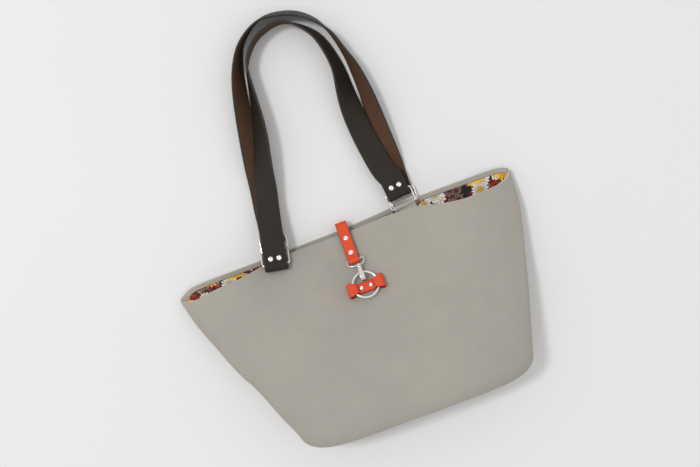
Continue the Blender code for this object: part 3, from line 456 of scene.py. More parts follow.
def bar_heights():
    """Height of each ring's strap bar: straps and rings lie on each other."""
    around = STRAP_THICKNESS + CLEARANCE + RING_WIRE / 2
    low = FLOOR_GAP + around
    stacked = low + 2 * around + CLEARANCE
    x, y = ring_place("front_left")[:2]
    beneath = max(front_height(x, y + step * RING_PITCH) for step in (-0.6, -0.3, 0.0, 0.3))
    resting = beneath + around + CAP_HEIGHT / 2
    return {"front_left": resting, "front_right": stacked, "back_left": low, "back_right": low}


def ring_place(key):
    across, beyond, heading = RING_PLACES[key]
    x = MOUTH_CENTRE + HANDLE_SPAN * across
    rim = front_rim(x) if key.startswith("front") else back_rim(x)
    return x, rim + RING_PITCH * beyond, math.radians(heading)


def ring_frame(key):
    """Origin at the strap's bar, the strap's heading, the outer face's direction and the width direction."""
    x, y, heading = ring_place(key)
    origin = Vector((x, y, bar_heights()[key]))
    along = Vector((math.sin(heading), math.cos(heading), 0.0))
    face = Vector((0.0, 0.0, 1.0 if key.startswith("front") else -1.0))
    return origin, along, face


def end_fold():
    """(along, face) path of a strap's end, from the strap round the ring's bar to the tail's tip."""
    near = (STRAP_THICKNESS + CLEARANCE) / 2
    wide = RING_WIRE / 2 + CLEARANCE + STRAP_THICKNESS / 2
    closes, parts, ends = (HANDLE_RIVET_SETBACK * share for share in STRAP_END[:3])
    strap = [Vector((ends, near)), Vector((parts, near)), Vector((closes, near)), Vector((0.0, wide))]
    turn = arc((-FOLD_SLACK, 0.0), wide, 90.0, 270.0, 8)
    tail = [Vector((p.x, -p.y)) for p in strap[:0:-1]] + [Vector((TAIL_LENGTH, -near))]
    return strap + turn + tail


def strap_centres(rows, left_key, right_key):
    """Centre line points of a handle, each with the tilt of its outer face."""
    heights = bar_heights()
    sign = 1.0 if left_key.startswith("front") else -1.0
    near = (STRAP_THICKNESS + CLEARANCE) / 2
    points = []
    for key in (left_key, right_key):
        origin, along, face = ring_frame(key)
        ends = [origin + along * (HANDLE_RIVET_SETBACK * share) + face * near for share in STRAP_END[2:]]
        ends = [Vector((*end, sign * math.pi / 2)) for end in ends]
        points.append(ends)
    middle = []
    for across, beyond, tilt, keeps in rows:
        end_height = heights[left_key if across < 0 else right_key] + sign * near - STRAP_THICKNESS / 2
        angle = math.radians(tilt)
        rest = STRAP_WIDTH / 2 * abs(math.cos(angle)) + STRAP_THICKNESS / 2 * abs(math.sin(angle))
        x = MOUTH_CENTRE + HANDLE_SPAN * across
        y = MOUTH_LEVEL + HANDLE_REACH * beyond
        middle.append(Vector((x, y, FLOOR_GAP + rest + keeps * end_height, angle)))
    return points[0] + middle + points[1][::-1]


def strap_frames(rows, left_key, right_key):
    """All frames of a handle, from the left tail's tip to the right one's."""
    line = smoothed(spline(strap_centres(rows, left_key, right_key), STRAP_STEPS))
    frames = []
    for i, point in enumerate(line):
        heading = (line[min(i + 1, len(line) - 1)] - line[max(i - 1, 0)]).to_3d().normalized()
        outward = Vector((-heading.y, heading.x, 0.0)).normalized()
        face = outward * math.cos(point.w) + Vector((0.0, 0.0, math.sin(point.w)))
        face = (face - heading * face.dot(heading)).normalized()
        frames.append((point.to_3d(), heading.cross(face), face))
    fold = smooth_path(end_fold(), 3)[1:]
    left, right = ring_frame(left_key), ring_frame(right_key)
    left_end = flat_frames(fold, *left)
    right_end = [(centre, -across, face) for centre, across, face in flat_frames(fold, *right)]
    return left_end[::-1] + frames + right_end


def ring_tilt(key):
    """Unit vector from the strap's bar to the tab's bar."""
    origin, along, _ = ring_frame(key)
    drop = origin.z - tab_bar_height(key)
    away = along if key == "front_left" else -along
    return (away * math.sqrt(RING_PITCH**2 - drop**2) + Vector((0.0, 0.0, -drop))) / RING_PITCH


def tab_layers():
    """Distances from the mouth's outer face to the middle of a tab's first and second layer."""
    first = SHELL_WALL + LAYER_GAP + FACING_WALL + CLEARANCE + TAB_THICKNESS / 2
    return first, first + TAB_THICKNESS + CLEARANCE


def tab_bar_height(key):
    """A back tab lies on the mouth's back wall, and the front ones are lifted by what is under them."""
    first = tab_layers()[0]
    round_bar = RING_WIRE / 2 + CLEARANCE + TAB_THICKNESS / 2
    resting = first + round_bar
    if key.startswith("back"):
        return resting
    if key == "front_right":
        return resting + 2 * round_bar + TAB_THICKNESS + CLEARANCE
    x, _, _ = ring_place(key)
    return front_height(x, front_rim(x)) + RING_WIRE / 2


def ring_path(key):
    """The rectangular ring's wire, with rounded corners."""
    origin, along, _ = ring_frame(key)
    down = ring_tilt(key)
    across = Vector((along.y, -along.x, 0.0))
    half = (STRAP_WIDTH + RING_WIRE) / 2 + 2 * CLEARANCE
    path = []
    for side, is_far, start in ((1, True, 90.0), (1, False, 0.0), (-1, False, -90.0), (-1, True, -180.0)):
        centre_x = side * (half - RING_CORNER)
        centre_y = RING_PITCH - RING_CORNER if is_far else RING_CORNER
        for point in arc((centre_x, centre_y), RING_CORNER, start, start - 90.0, WIRE_CORNER_STEPS):
            path.append(origin + across * point.x + down * point.y)
    return path


def tab_frames(key):
    """Frames of a tab: out of the mouth, round the ring's bar and back into the mouth."""
    _, _, heading = ring_place(key)
    bar = ring_frame(key)[0] + ring_tilt(key) * RING_PITCH
    along = Vector((math.sin(heading), math.cos(heading), 0.0))
    across = Vector((along.y, -along.x, 0.0)) * (TAB_WIDTH / 2)
    first, second = tab_layers()
    is_front = key.startswith("front")
    sides = [bar + across * side for side in (-1.0, 0.0, 1.0)]
    rims = [((front_rim(p.x) if is_front else back_rim(p.x)) - p.y) / along.y for p in sides]
    rim = rims[1]
    inside = min(rim, 0.0) - TAB_INSIDE
    lift = max(rims) + TAB_PAST_RIM if is_front else -TAB_LIFT_START

    def level(distance, layer):
        if not is_front:
            return layer - bar.z
        place = bar + along * distance
        return front_height(place.x, place.y) - layer - WALL_ROOM - bar.z

    round_bar = RING_WIRE / 2 + CLEARANCE + TAB_THICKNESS / 2
    steepness = TAB_STEEPNESS if key == "front_left" else 0.0
    leave = math.radians(steepness)
    out = Vector((math.cos(leave), math.sin(leave)))
    top = Vector((-out.y, out.x)) * round_bar

    def run(layer, later, end):
        distances = (inside, mix(inside, lift, 0.6), lift - TAB_THICKNESS + later, lift + later)
        points = [Vector((d, level(min(d, rim), layer))) for d in distances]
        curve = spline([p.to_3d() for p in [*points, end - out * TAB_THICKNESS, end]], 3)
        return [p.to_2d() for p in curve[:-1]]

    later = (second - first) * math.tan(leave / 2)
    upper = run(first if is_front else second, 0.0, top)
    lower = run(second if is_front else first, later, -top)
    path = upper + arc((0.0, 0.0), round_bar, steepness + 90.0, steepness - 90.0, 20) + lower[::-1]
    slope = 0.0
    if is_front:
        left, right = bar + along * rim - across, bar + along * rim + across
        slope = (front_height(right.x, right.y) - front_height(left.x, left.y)) / TAB_WIDTH
    frames = []
    for point, (centre, side, face) in zip(path, flat_frames(path, bar, along, Vector((0.0, 0.0, 1.0)))):
        lean = slope * (1.0 - ease(lift, -TAB_THICKNESS, point.x))
        heading_3d = side.cross(face)
        tilted = (side + Vector((0.0, 0.0, lean))).normalized()
        frames.append((centre, tilted, heading_3d.cross(tilted).normalized()))
    return frames


def clasp_matrix():
    """Origin at the round ring's middle, just above the front panel, with Y along the panel."""
    x = CLASP_ACROSS
    y = MOUTH_LEVEL - CLASP_BELOW_MOUTH
    low_y, high_y = y - ROUND_RING_RADIUS, front_rim(x)
    low_z, high_z = front_height(x, low_y), front_height(x, high_y)
    slope = (high_z - low_z) / (high_y - low_y)
    bulge = 0.0
    for step in range(13):
        at = mix(low_y, high_y, step / 12)
        for side in (-HOLDER_LENGTH / 2, 0.0, HOLDER_LENGTH / 2):
            bulge = max(bulge, front_height(x + side, at) - (low_z + slope * (at - low_y)))
    along = Vector((0.0, 1.0, slope)).normalized()
    face = Vector((1.0, 0.0, 0.0)).cross(along)
    origin = Vector((x, y, low_z + slope * (y - low_y) + bulge))
    return turn_to(Vector((1.0, 0.0, 0.0)), along, face, origin)


def closure_layers():
    """Heights off the panel of the closure strap's under and upper layer."""
    under = 2 * CLEARANCE + BACK_CAP_HEIGHT + CLOSURE_THICKNESS / 2
    return under, under + CLOSURE_THICKNESS + CLEARANCE


def closure_path(clasp):
    """(along, up) points of the closure strap: tail, round the D ring, up the panel and over the mouth."""
    under, upper = closure_layers()
    bar_height = under + CLOSURE_THICKNESS / 2 + CLEARANCE + D_RING_WIRE / 2
    wide = D_RING_WIRE / 2 + CLEARANCE + CLOSURE_THICKNESS / 2
    inverse = clasp.inverted()
    x = clasp.translation.x + CLOSURE_OFFSET
    rim = inverse @ Vector((x, front_rim(x), front_height(x, front_rim(x))))
    tail_end = CLOSURE_RIVET_LOW + CLOSURE_RIVET_SPACING + CLOSURE_TAIL_PAST
    path = [Vector((tail_end, under)), Vector((D_RING_BAR + CLOSURE_FOLD_RUN, under))]
    path += arc((D_RING_BAR - CLOSURE_FOLD_SLACK, bar_height), wide, 270.0, 90.0, 8)
    path += [Vector((D_RING_BAR + CLOSURE_FOLD_LEVEL, bar_height + wide))]
    path += [Vector((along, upper)) for along in (D_RING_BAR + CLOSURE_FOLD_RUN, CLOSURE_RIVET_LOW)]
    path += [Vector((rim.y - CLOSURE_THICKNESS, upper))]
    slope = math.atan2(clasp.col[1].z, clasp.col[1].y)
    start = clasp @ Vector((0.0, rim.y + CLOSURE_REACH * 0.5, upper))
    inner = SHELL_WALL + LAYER_GAP + FACING_WALL + CLEARANCE + CLOSURE_THICKNESS / 2
    radius = (start.z - inner) / (1.0 + math.cos(slope))
    centre = start + Vector((0.0, math.sin(slope), -math.cos(slope))) * radius
    bend = arc((centre.y, centre.z), radius, math.degrees(slope) + 90.0, -90.0, 8)
    inside = [Vector((back_rim(x), inner)), Vector((back_rim(x) - CLOSURE_INSIDE, inner))]
    for point in bend + inside:
        local = inverse @ Vector((x, point.x, point.y))
        path.append(Vector((local.y, local.z)))
    return path


def hook_levels():
    """Heights off the panel: the gate's pin, the round ring's wire in the eye, the stem and the spine."""
    gate = HOOK_LIFT + HOOK_THICKNESS / 2
    inner = gate + GATE_THICKNESS / 2
    wire = inner + 0.68 * HOOK_EYE
    spine = inner + HOOK_EYE + HOOK_THICKNESS / 2
    return gate, wire, (gate + spine) / 2 + STEM_LIFT, spine


def round_ring_matrix():
    """The round ring rests on its holder's under layer and is lifted by the hook."""
    low = CLEARANCE * 2 + HOLDER_THICKNESS + ROUND_RING_WIRE / 2
    wire = hook_levels()[1]
    tilt = math.asin((wire - low) / (2 * ROUND_RING_RADIUS))
    return Matrix.Translation((0.0, 0.0, (wire + low) / 2)) @ Matrix.Rotation(tilt, 4, "X")


# Where the bag's own frame is in the model: the round ring's middle gives it
RING_LOW, RING_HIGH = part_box("clasp_ring")
CLASP = clasp_matrix()
SHIFT = (RING_LOW + RING_HIGH) / 2 - (CLASP @ round_ring_matrix()).translation

# The front panel's soft swells and dents: middle across, middle up, reach along, reach across,
# heading of the reach along in degrees, height
FRONT_RELIEF = (
    (-0.128, -0.078, 0.060, 0.034, 35, 0.0026),
    (-0.190, -0.098, 0.026, 0.007, 20, -0.0024),
    (-0.176, -0.086, 0.030, 0.008, 16, 0.0014),
    (-0.032, 0.010, 0.030, 0.012, 100, -0.0016),
    (-0.060, -0.020, 0.050, 0.020, 60, 0.0012),
    (0.105, -0.010, 0.070, 0.030, -10, 0.0013),
    (0.130, -0.120, 0.060, 0.040, 60, 0.0016),
    (0.040, -0.150, 0.080, 0.022, 5, -0.0012),
    (-0.060, -0.165, 0.050, 0.018, -15, 0.0011),
    (0.192, -0.040, 0.050, 0.014, 75, -0.0015),
)

# Soft waves of the outer leather, which fade out round the clasp and towards the floor
RELIEF_WAVES = 0.0007
RELIEF_WAVE_SIZE = 0.055
CALM_MIDDLE = (CLASP_ACROSS, -0.005)
CALM_REACH = (0.045, 0.065)
CALM_FLOOR = (0.001, 0.012)

# The rim's rounded cut edge, the facing inside it with its pressed line, and the lining's puckers
RIM_ROUNDING = 0.0006
FACING_SHOWN = FACING_DEPTH * 0.65
FACING_SHARES = (1.0, 0.97, 0.9, 0.8, 0.7, 0.62, 0.56, 0.53, 0.5, 0.47, 0.44, 0.38, 0.3, 0.2, 0.1, 0.03, 0.0)
FACING_ROUNDING = 0.0004
GROOVE_DEPTH = 0.0005
PUCKER_HEIGHT = 0.0009
PUCKER_SIZES = (0.024, 0.011)

# The rings that close a wall's end, as shares of its last loop
CAP_SHARES = (0.96, 0.85, 0.65, 0.4, 0.15)

# Rounded tips of straps, and a hammered cap: shares of its radius and of its height, and its ripples
HANDLE_TIP = 0.003
CLOSURE_TIP = 0.002
RIVET_BACK = ((0.5, 0.96), (0.8, 0.75), (0.95, 0.4), (1.0, 0.0))
RIVET_DOME = (
    (0.97, 0.0), (1.0, 0.15), (0.985, 0.32), (0.94, 0.50), (0.87, 0.67), (0.78, 0.82), (0.68, 0.93),
    (0.58, 1.0), (0.48, 1.0), (0.38, 0.93), (0.28, 0.84), (0.18, 0.78), (0.09, 0.75),
)
RIVET_DIMPLE = 0.74
RIPPLE_SIZE = 0.0011
RIPPLE_HEIGHT = 0.00013

# Light and view, in the bag's own frame
WORLD_LIGHT = 0.755
KEY_PLACE = (-1.86, 1.26, 4.8)
KEY_POWER = 88.0
KEY_SIZE = 0.9
FLOOR_REACH = 6.0
VIEW_MIDDLE = (-0.002, 0.040, 0.0)
VIEW_WIDTH = 0.910
CAMERA_HEIGHT = 1.3
CAMERA_TURN = -20.0


# Meshes


def new_object(name, data):
    made = bpy.data.objects.new(name, data)
    bpy.context.scene.collection.objects.link(made)
    return made


def closed_mesh(name, points, faces):
    mesh = bpy.data.meshes.new(name)
    mesh.from_pydata([tuple(p) for p in points], [], faces)
    bm = bmesh.new()
    bm.from_mesh(mesh)
    bmesh.ops.recalc_face_normals(bm, faces=bm.faces)
    bm.to_mesh(mesh)
    bm.free()
    return mesh


def grid_faces(rows, columns):
    """Quads between closed rows of points that are stored one row after another."""
    faces = []
    for row in range(rows - 1):
        low, high = row * columns, (row + 1) * columns
        for i in range(columns):
            j = (i + 1) % columns
            faces.append((low + i, low + j, high + j, high + i))
    return faces


def lofted(name, loops, tags=None):
    """A closed solid through loops of points; tags gives the material of each place round a loop."""
    count = len(loops[0])
    points = [point for loop in loops for point in loop]
    faces = grid_faces(len(loops), count)
    last = (len(loops) - 1) * count
    faces += [tuple(range(count)), tuple(range(last, last + count))]
    mesh = closed_mesh(name, points, faces)
    if tags:
        marks = [tags[i] for _ in range(len(loops) - 1) for i in range(count)] + [tags[-1]] * 2
        mesh.polygons.foreach_set("material_index", marks)
    return mesh


def turned(name, profile, ripple=None):
    """A closed solid of revolution round Z, from one pole to the other; ripple moves its points."""
    points, faces, rings = [], [], []
    for radius, height in profile:
        ring = []
        for i in range(ROUND_STEPS if radius else 1):
            turn = 2.0 * math.pi * i / ROUND_STEPS
            point = Vector((radius * math.cos(turn), radius * math.sin(turn), height))
            ring.append(len(points))
            points.append(ripple(point) if ripple else point)
        rings.append(ring)
    for ring, following in zip(rings, rings[1:]):
        for i in range(ROUND_STEPS):
            j = (i + 1) % ROUND_STEPS
            if len(ring) == 1:
                faces.append((ring[0], following[i], following[j]))
            elif len(following) == 1:
                faces.append((ring[i], ring[j], following[0]))
            else:
                faces.append((ring[i], ring[j], following[j], following[i]))
    return closed_mesh(name, points, faces)


def tube(name, path, normal, radius):
    """A closed flat wire loop; normal is square to its plane."""
    points = []
    for i, point in enumerate(path):
        heading = (path[(i + 1) % len(path)] - path[i - 1]).normalized()
        out = heading.cross(normal).normalized()
        for k in range(WIRE_SIDES):
            turn = 2.0 * math.pi * k / WIRE_SIDES
            points.append(point + out * (radius * math.cos(turn)) + normal * (radius * math.sin(turn)))
    faces = grid_faces(len(path), WIRE_SIDES)
    last = (len(path) - 1) * WIRE_SIDES
    for i in range(WIRE_SIDES):
        j = (i + 1) % WIRE_SIDES
        faces.append((last + i, last + j, j, i))
    return closed_mesh(name, points, faces)


def smooth_path(points, steps):
    return [point.to_2d() for point in spline([p.to_3d() for p in points], steps)]


def smoothed(line):
    """The line without its small bumps; its ends stay."""
    for _ in range(STRAP_SMOOTHING):
        inside = [(a + b * 2.0 + c) / 4.0 for a, b, c in zip(line, line[1:], line[2:])]
        line = [line[0]] + inside + [line[-1]]
    return line


def strap_section(width, thickness, radius):
    """(across, up) points round a strap's section with rounded edges, and what each stretch of it is."""
    points, tags = [], []
    half_width, half_height = width / 2 - radius, thickness / 2 - radius
    corners = ((-1, -1, 180.0), (1, -1, 270.0), (1, 1, 0.0), (-1, 1, 90.0))
    for index, (side, up, start) in enumerate(corners):
        points += arc((side * half_width, up * half_height), radius, start, start + 90.0, STRAP_EDGE_STEPS)
        tags += [2] * STRAP_EDGE_STEPS
        if index in (0, 2):
            for k in range(1, STRAP_COLUMNS):
                across = mix(-half_width, half_width, k / STRAP_COLUMNS) * (1 if index == 0 else -1)
                points.append(Vector((across, up * thickness / 2)))
            tags += [1 if index == 0 else 0] * STRAP_COLUMNS
        else:
            tags += [2]
    return points, tags


def strap_mesh(name, frames, widths, thickness, tip=0.0, edge_share=0.42):
    """A strap with rounded edges and ends; tip is the radius of its ends' corners."""
    radius = thickness * edge_share
    rows = [(c, a.normalized(), f.normalized(), w, 0.0) for (c, a, f), w in zip(frames, widths)]
    for at_end in (False, True):
        if not at_end:
            rows.reverse()
        centre, across, face, width, _ = rows[-1]
        heading = (centre - rows[-2][0]).normalized()
        while tip and (rows[-2][0] - centre).length < tip and len(rows) > 4:
            rows.pop(-2)
        rows.pop()
        if tip:
            for angle in (0, 20, 40, 60, 75):
                bend = math.radians(angle)
                place = centre - heading * (tip * (1.0 - math.sin(bend)) + radius)
                rows.append((place, across, face, width - 2 * tip * (1.0 - math.cos(bend)), 0.0))
            width -= 2 * tip * (1.0 - math.cos(math.radians(75)))
        for angle in (0, 30, 60, 90):
            bend = math.radians(angle)
            place = centre - heading * (radius * (1.0 - math.sin(bend)))
            rows.append((place, across, face, width, radius * (1.0 - math.cos(bend))))
        if not at_end:
            rows.reverse()
    loops, tags = [], None
    for centre, across, face, width, inset in rows:
        section_points, tags = strap_section(width, thickness, radius)
        half = width / 2
        narrow, low = (half - inset) / half, (thickness / 2 - inset) / (thickness / 2)
        loops.append([centre + across * (p.x * narrow) + face * (p.y * low) for p in section_points])
    return lofted(name, loops, tags)


def box_mesh(name, low, high, bevel=0.0):
    bm = bmesh.new()
    bmesh.ops.create_cube(bm, size=1.0)
    low, high = Vector(low), Vector(high)
    for vert in bm.verts:
        vert.co = Vector(((low[i] + high[i]) / 2 + vert.co[i] * (high[i] - low[i]) for i in range(3)))
    if bevel:
        bmesh.ops.bevel(bm, geom=bm.edges[:], offset=bevel, segments=3, profile=0.6, affect="EDGES")
    bmesh.ops.recalc_face_normals(bm, faces=bm.faces)
    mesh = bpy.data.meshes.new(name)
    bm.to_mesh(mesh)
    bm.free()
    return mesh


def rod_mesh(name, radius, low, high, bevel=0.0):
    profile = [(0.0, low), (radius - bevel, low), (radius, low + bevel)]
    profile += [(radius, high - bevel), (radius - bevel, high), (0.0, high)]
    if not bevel:
        profile = [(0.0, low), (radius, low), (radius, high), (0.0, high)]
    return turned(name, profile)


def solid(name, first, *others):
    """One mesh made of the first and the others, each given as its mesh, its matrix and the operation."""
    base = new_object(name, first)
    helpers = [base]
    for mesh, matrix, operation in others:
        other = new_object(mesh.name, mesh)
        other.matrix_world = matrix
        step = base.modifiers.new(mesh.name, "BOOLEAN")
        step.operation, step.solver, step.object = operation, "EXACT", other
        helpers.append(other)
    bpy.context.view_layer.update()
    graph = bpy.context.evaluated_depsgraph_get()
    mesh = bpy.data.meshes.new_from_object(base.evaluated_get(graph))
    mesh.name = name
    for helper in helpers:
        bpy.data.objects.remove(helper)
    return mesh


def add_piece(name, mesh, materials, replaced, body="bag", sharp_above=38.0, matrix=None):
    """Puts a finished piece where its node is, and has it ride on its body."""
    if matrix:
        mesh.transform(matrix)
    mesh.transform(Matrix.Translation(SHIFT))
    for made in materials:
        mesh.materials.append(made)
    mesh.shade_smooth()
    mesh.set_sharp_from_angle(angle=math.radians(sharp_above))
    piece = new_object(name, mesh)
    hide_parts(*replaced)
    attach(piece, body)


# Materials


class Finish:
    """A material's nodes, made one call at a time."""

    def __init__(self, name, roughness=0.5, metallic=0.0, **sockets):
        self.material = bpy.data.materials.new(name)
        self.material.use_nodes = True
        self.tree = self.material.node_tree
        self.shader = self.tree.nodes["Principled BSDF"]
        self.shader.inputs["Roughness"].default_value = roughness
        self.shader.inputs["Metallic"].default_value = metallic
        for key, value in sockets.items():
            self.shader.inputs[key.replace("_", " ")].default_value = value
        self.place = self.node("ShaderNodeTexCoord").outputs["Object"]

    def put(self, socket, value):
        if isinstance(value, bpy.types.NodeSocket):
            self.tree.links.new(value, socket)
        elif socket.type == "RGBA" and len(value) == 3:
            socket.default_value = (*value, 1.0)
        else:
            socket.default_value = value

    def node(self, kind, inputs=None, **settings):
        made = self.tree.nodes.new(kind)
        for key, value in settings.items():
            setattr(made, key, value)
        for key, value in (inputs or {}).items():
            self.put(made.inputs[key], value)
        return made

    def calc(self, operation, *values):
        made = self.node("ShaderNodeMath", operation=operation)
        for socket, value in zip(made.inputs, values):
            self.put(socket, value)
        return made.outputs[0]

    def vector(self, operation, *values):
        made = self.node("ShaderNodeVectorMath", operation=operation)
        for socket, value in zip(made.inputs, values):
            self.put(socket, value)
        return made.outputs["Value" if operation == "LENGTH" else "Vector"]

    def blend(self, share, low, high):
        made = self.node("ShaderNodeMix", data_type="RGBA")
        self.put(made.inputs[0], share)
        self.put(made.inputs[6], low)
        self.put(made.inputs[7], high)
        return made.outputs[2]

    def remap(self, value, low, high, to_low=0.0, to_high=1.0, smooth=False):
        made = self.node("ShaderNodeMapRange", interpolation_type="SMOOTHSTEP" if smooth else "LINEAR")
        for socket, number in zip(made.inputs, (value, low, high, to_low, to_high)):
            self.put(socket, number)
        return made.outputs[0]

    def steps(self, value, stops):
        """Flat colours from (place, colour) stops."""
        made = self.node("ShaderNodeValToRGB", {"Fac": value})
        made.color_ramp.interpolation = "CONSTANT"
        for index, (place, colour) in enumerate(stops):
            stop = made.color_ramp.elements[index] if index < 2 else made.color_ramp.elements.new(place)
            stop.position = place
            stop.color = (*colour, 1.0)
        return made.outputs["Color"]

    def noise(self, size, detail, roughness, place=None):
        inputs = {"Vector": place or self.place, "Scale": 1.0 / size}
        inputs |= {"Detail": detail, "Roughness": roughness}
        return self.node("ShaderNodeTexNoise", inputs).outputs["Fac"]

    def cells(self, size, feature="F1", place=None, randomness=1.0, flat=False):
        inputs = {"Vector": place or self.place, "Scale": 1.0 / size, "Randomness": randomness}
        dimensions = "2D" if flat else "3D"
        return self.node("ShaderNodeTexVoronoi", inputs, feature=feature, voronoi_dimensions=dimensions)

    def bump(self, height, depth, after=None):
        inputs = {"Height": height, "Distance": depth, "Strength": 1.0}
        if after:
            inputs["Normal"] = after
        return self.node("ShaderNodeBump", inputs).outputs["Normal"]

    def finish(self, colour=None, roughness=None, normal=None):
        for key, value in (("Base Color", colour), ("Roughness", roughness), ("Normal", normal)):
            if value is not None:
                self.put(self.shader.inputs[key], value)
        return self.material


def shade(colour, factor):
    return tuple(min(1.0, c * factor) for c in colour)


def leather(
    name, colour, varies, grain_size=0.0008, grain_depth=0.00010, roughness=0.5, worn=0.0, gloss=0.4
):
    """Grained leather: soft clouds of colour, a pebbled grain with finer creases darkened as painted shade,
    and a little wear.
    """
    made = Finish(name, Specular_IOR_Level=gloss)
    clouds = made.noise(0.085, 2.0, 0.45)
    patches = made.noise(0.018, 4.0, 0.6)
    tone = made.calc("ADD", made.calc("MULTIPLY", clouds, 0.65), made.calc("MULTIPLY", patches, 0.35))
    base = made.blend(made.remap(tone, 0.32, 0.68), shade(colour, 1.0 - varies), shade(colour, 1.0 + varies))
    pebbles = made.cells(grain_size, "DISTANCE_TO_EDGE").outputs["Distance"]
    creases = made.remap(pebbles, 0.0, 0.22, smooth=True)
    pores = made.noise(grain_size * 0.35, 3.0, 0.65)
    # Painted shade: the grain's creases are darkened towards a deeper tone of the leather
    base = made.blend(made.remap(creases, 0.0, 1.0, 0.22, 0.0), base, shade(colour, 0.62))
    if worn:
        rubbed = made.remap(made.noise(0.006, 5.0, 0.7), 0.52, 0.75, 0.0, worn)
        base = made.blend(rubbed, base, shade(colour, 1.9))
    rough = made.remap(tone, 0.25, 0.75, roughness - 0.07, roughness + 0.09)
    relief = made.bump(creases, grain_depth)
    relief = made.bump(pores, grain_depth * 0.45, relief)
    relief = made.bump(patches, grain_depth * 2.5, relief)
    return made.finish(base, rough, relief)


def suede(name, colour):
    """The fibrous flesh side of leather."""
    made = Finish(name, roughness=0.95, Specular_IOR_Level=0.12)
    fibres = made.noise(0.0009, 5.0, 0.75)
    patches = made.noise(0.014, 3.0, 0.6)
    tone = made.calc("ADD", made.calc("MULTIPLY", fibres, 0.5), made.calc("MULTIPLY", patches, 0.5))
    base = made.blend(made.remap(tone, 0.3, 0.7), shade(colour, 0.86), shade(colour, 1.14))
    return made.finish(base, None, made.bump(fibres, 0.00018))


def cut_edge(name, colour):
    """A leather's cut edge: layered fibres under a thin burnish."""
    made = Finish(name, roughness=0.6)
    fibres = made.noise(0.0006, 4.0, 0.7)
    base = made.blend(made.remap(fibres, 0.3, 0.7), shade(colour, 0.82), shade(colour, 1.12))
    return made.finish(base, None, made.bump(fibres, 0.00012))


def metal(name, colour, roughness=0.16, hammered=0.0):
    """Polished nickel with fine wear; hammered pieces have small dimples."""
    made = Finish(name, metallic=1.0)
    wear = made.noise(0.0035, 5.0, 0.65)
    scratches = made.noise(0.0007, 4.0, 0.7)
    base = made.blend(made.remap(wear, 0.3, 0.75), shade(colour, 1.03), shade(colour, 0.86))
    rough = made.remap(wear, 0.3, 0.8, roughness * 0.7, roughness * 1.7)
    relief = made.bump(scratches, 0.00001)
    if hammered:
        dimples = made.cells(0.0013, "SMOOTH_F1").outputs["Distance"]
        relief = made.bump(dimples, hammered, relief)
    return made.finish(base, rough, relief)


def flowers(made, place, size, petals, kinds, shown, seed):
    """Colour and mask of a layer of round flowers, one in each cell.

    kinds holds each kind's colours at the petal's tip, at its base and in the heart.
    """
    moved = made.vector("ADD", place, (seed, seed * 0.618, 0.0))
    cell = made.cells(size, place=moved, randomness=0.72, flat=True)
    away = made.vector("SUBTRACT", moved, cell.outputs["Position"])
    split = made.node("ShaderNodeSeparateXYZ", {"Vector": away})
    chance = made.node("ShaderNodeSeparateColor", {"Color": cell.outputs["Color"]})
    angle = made.calc("ARCTAN2", split.outputs["Y"], split.outputs["X"])
    spin = made.calc("MULTIPLY", chance.outputs[1], 6.28)
    turn = made.calc("ADD", made.calc("MULTIPLY", angle, petals / 2), spin)
    lobes = made.calc("ABSOLUTE", made.calc("COSINE", turn))
    reach = made.calc("MULTIPLY", made.remap(chance.outputs[0], 0.0, 1.0, 0.36, 0.54), size)
    ragged = made.calc("MULTIPLY", made.noise(size * 0.16, 2.0, 0.5, moved), 0.16)
    rounded = made.calc("MULTIPLY", made.calc("POWER", lobes, 0.55), 0.46)
    edge = made.calc("ADD", made.calc("ADD", rounded, 0.48), ragged)
    radius = made.vector("LENGTH", away)
    share = made.calc("DIVIDE", radius, reach)
    petal = made.remap(made.calc("SUBTRACT", edge, share), 0.0, 0.05)
    heart = made.remap(share, 0.30, 0.25)
    tip, root, middle = (
        made.steps(chance.outputs[2], [(k / len(kinds), kind[part]) for k, kind in enumerate(kinds)])
        for part in range(3)
    )
    body = made.blend(made.remap(share, 0.30, 0.85), root, tip)
    body = made.blend(made.remap(lobes, 0.0, 0.30, 0.75, 0.0), body, PETAL_GAP)
    seeds = made.cells(size * 0.035, place=moved, flat=True).outputs["Distance"]
    middle = made.blend(made.remap(seeds, 0.1, 0.6, 0.0, 0.55), middle, SEED)
    colour = made.blend(heart, body, middle)
    drawn = made.calc("FRACT", made.calc("MULTIPLY", chance.outputs[0], 7.3))
    present = made.calc("LESS_THAN", drawn, shown)
    return colour, made.calc("MULTIPLY", petal, present)


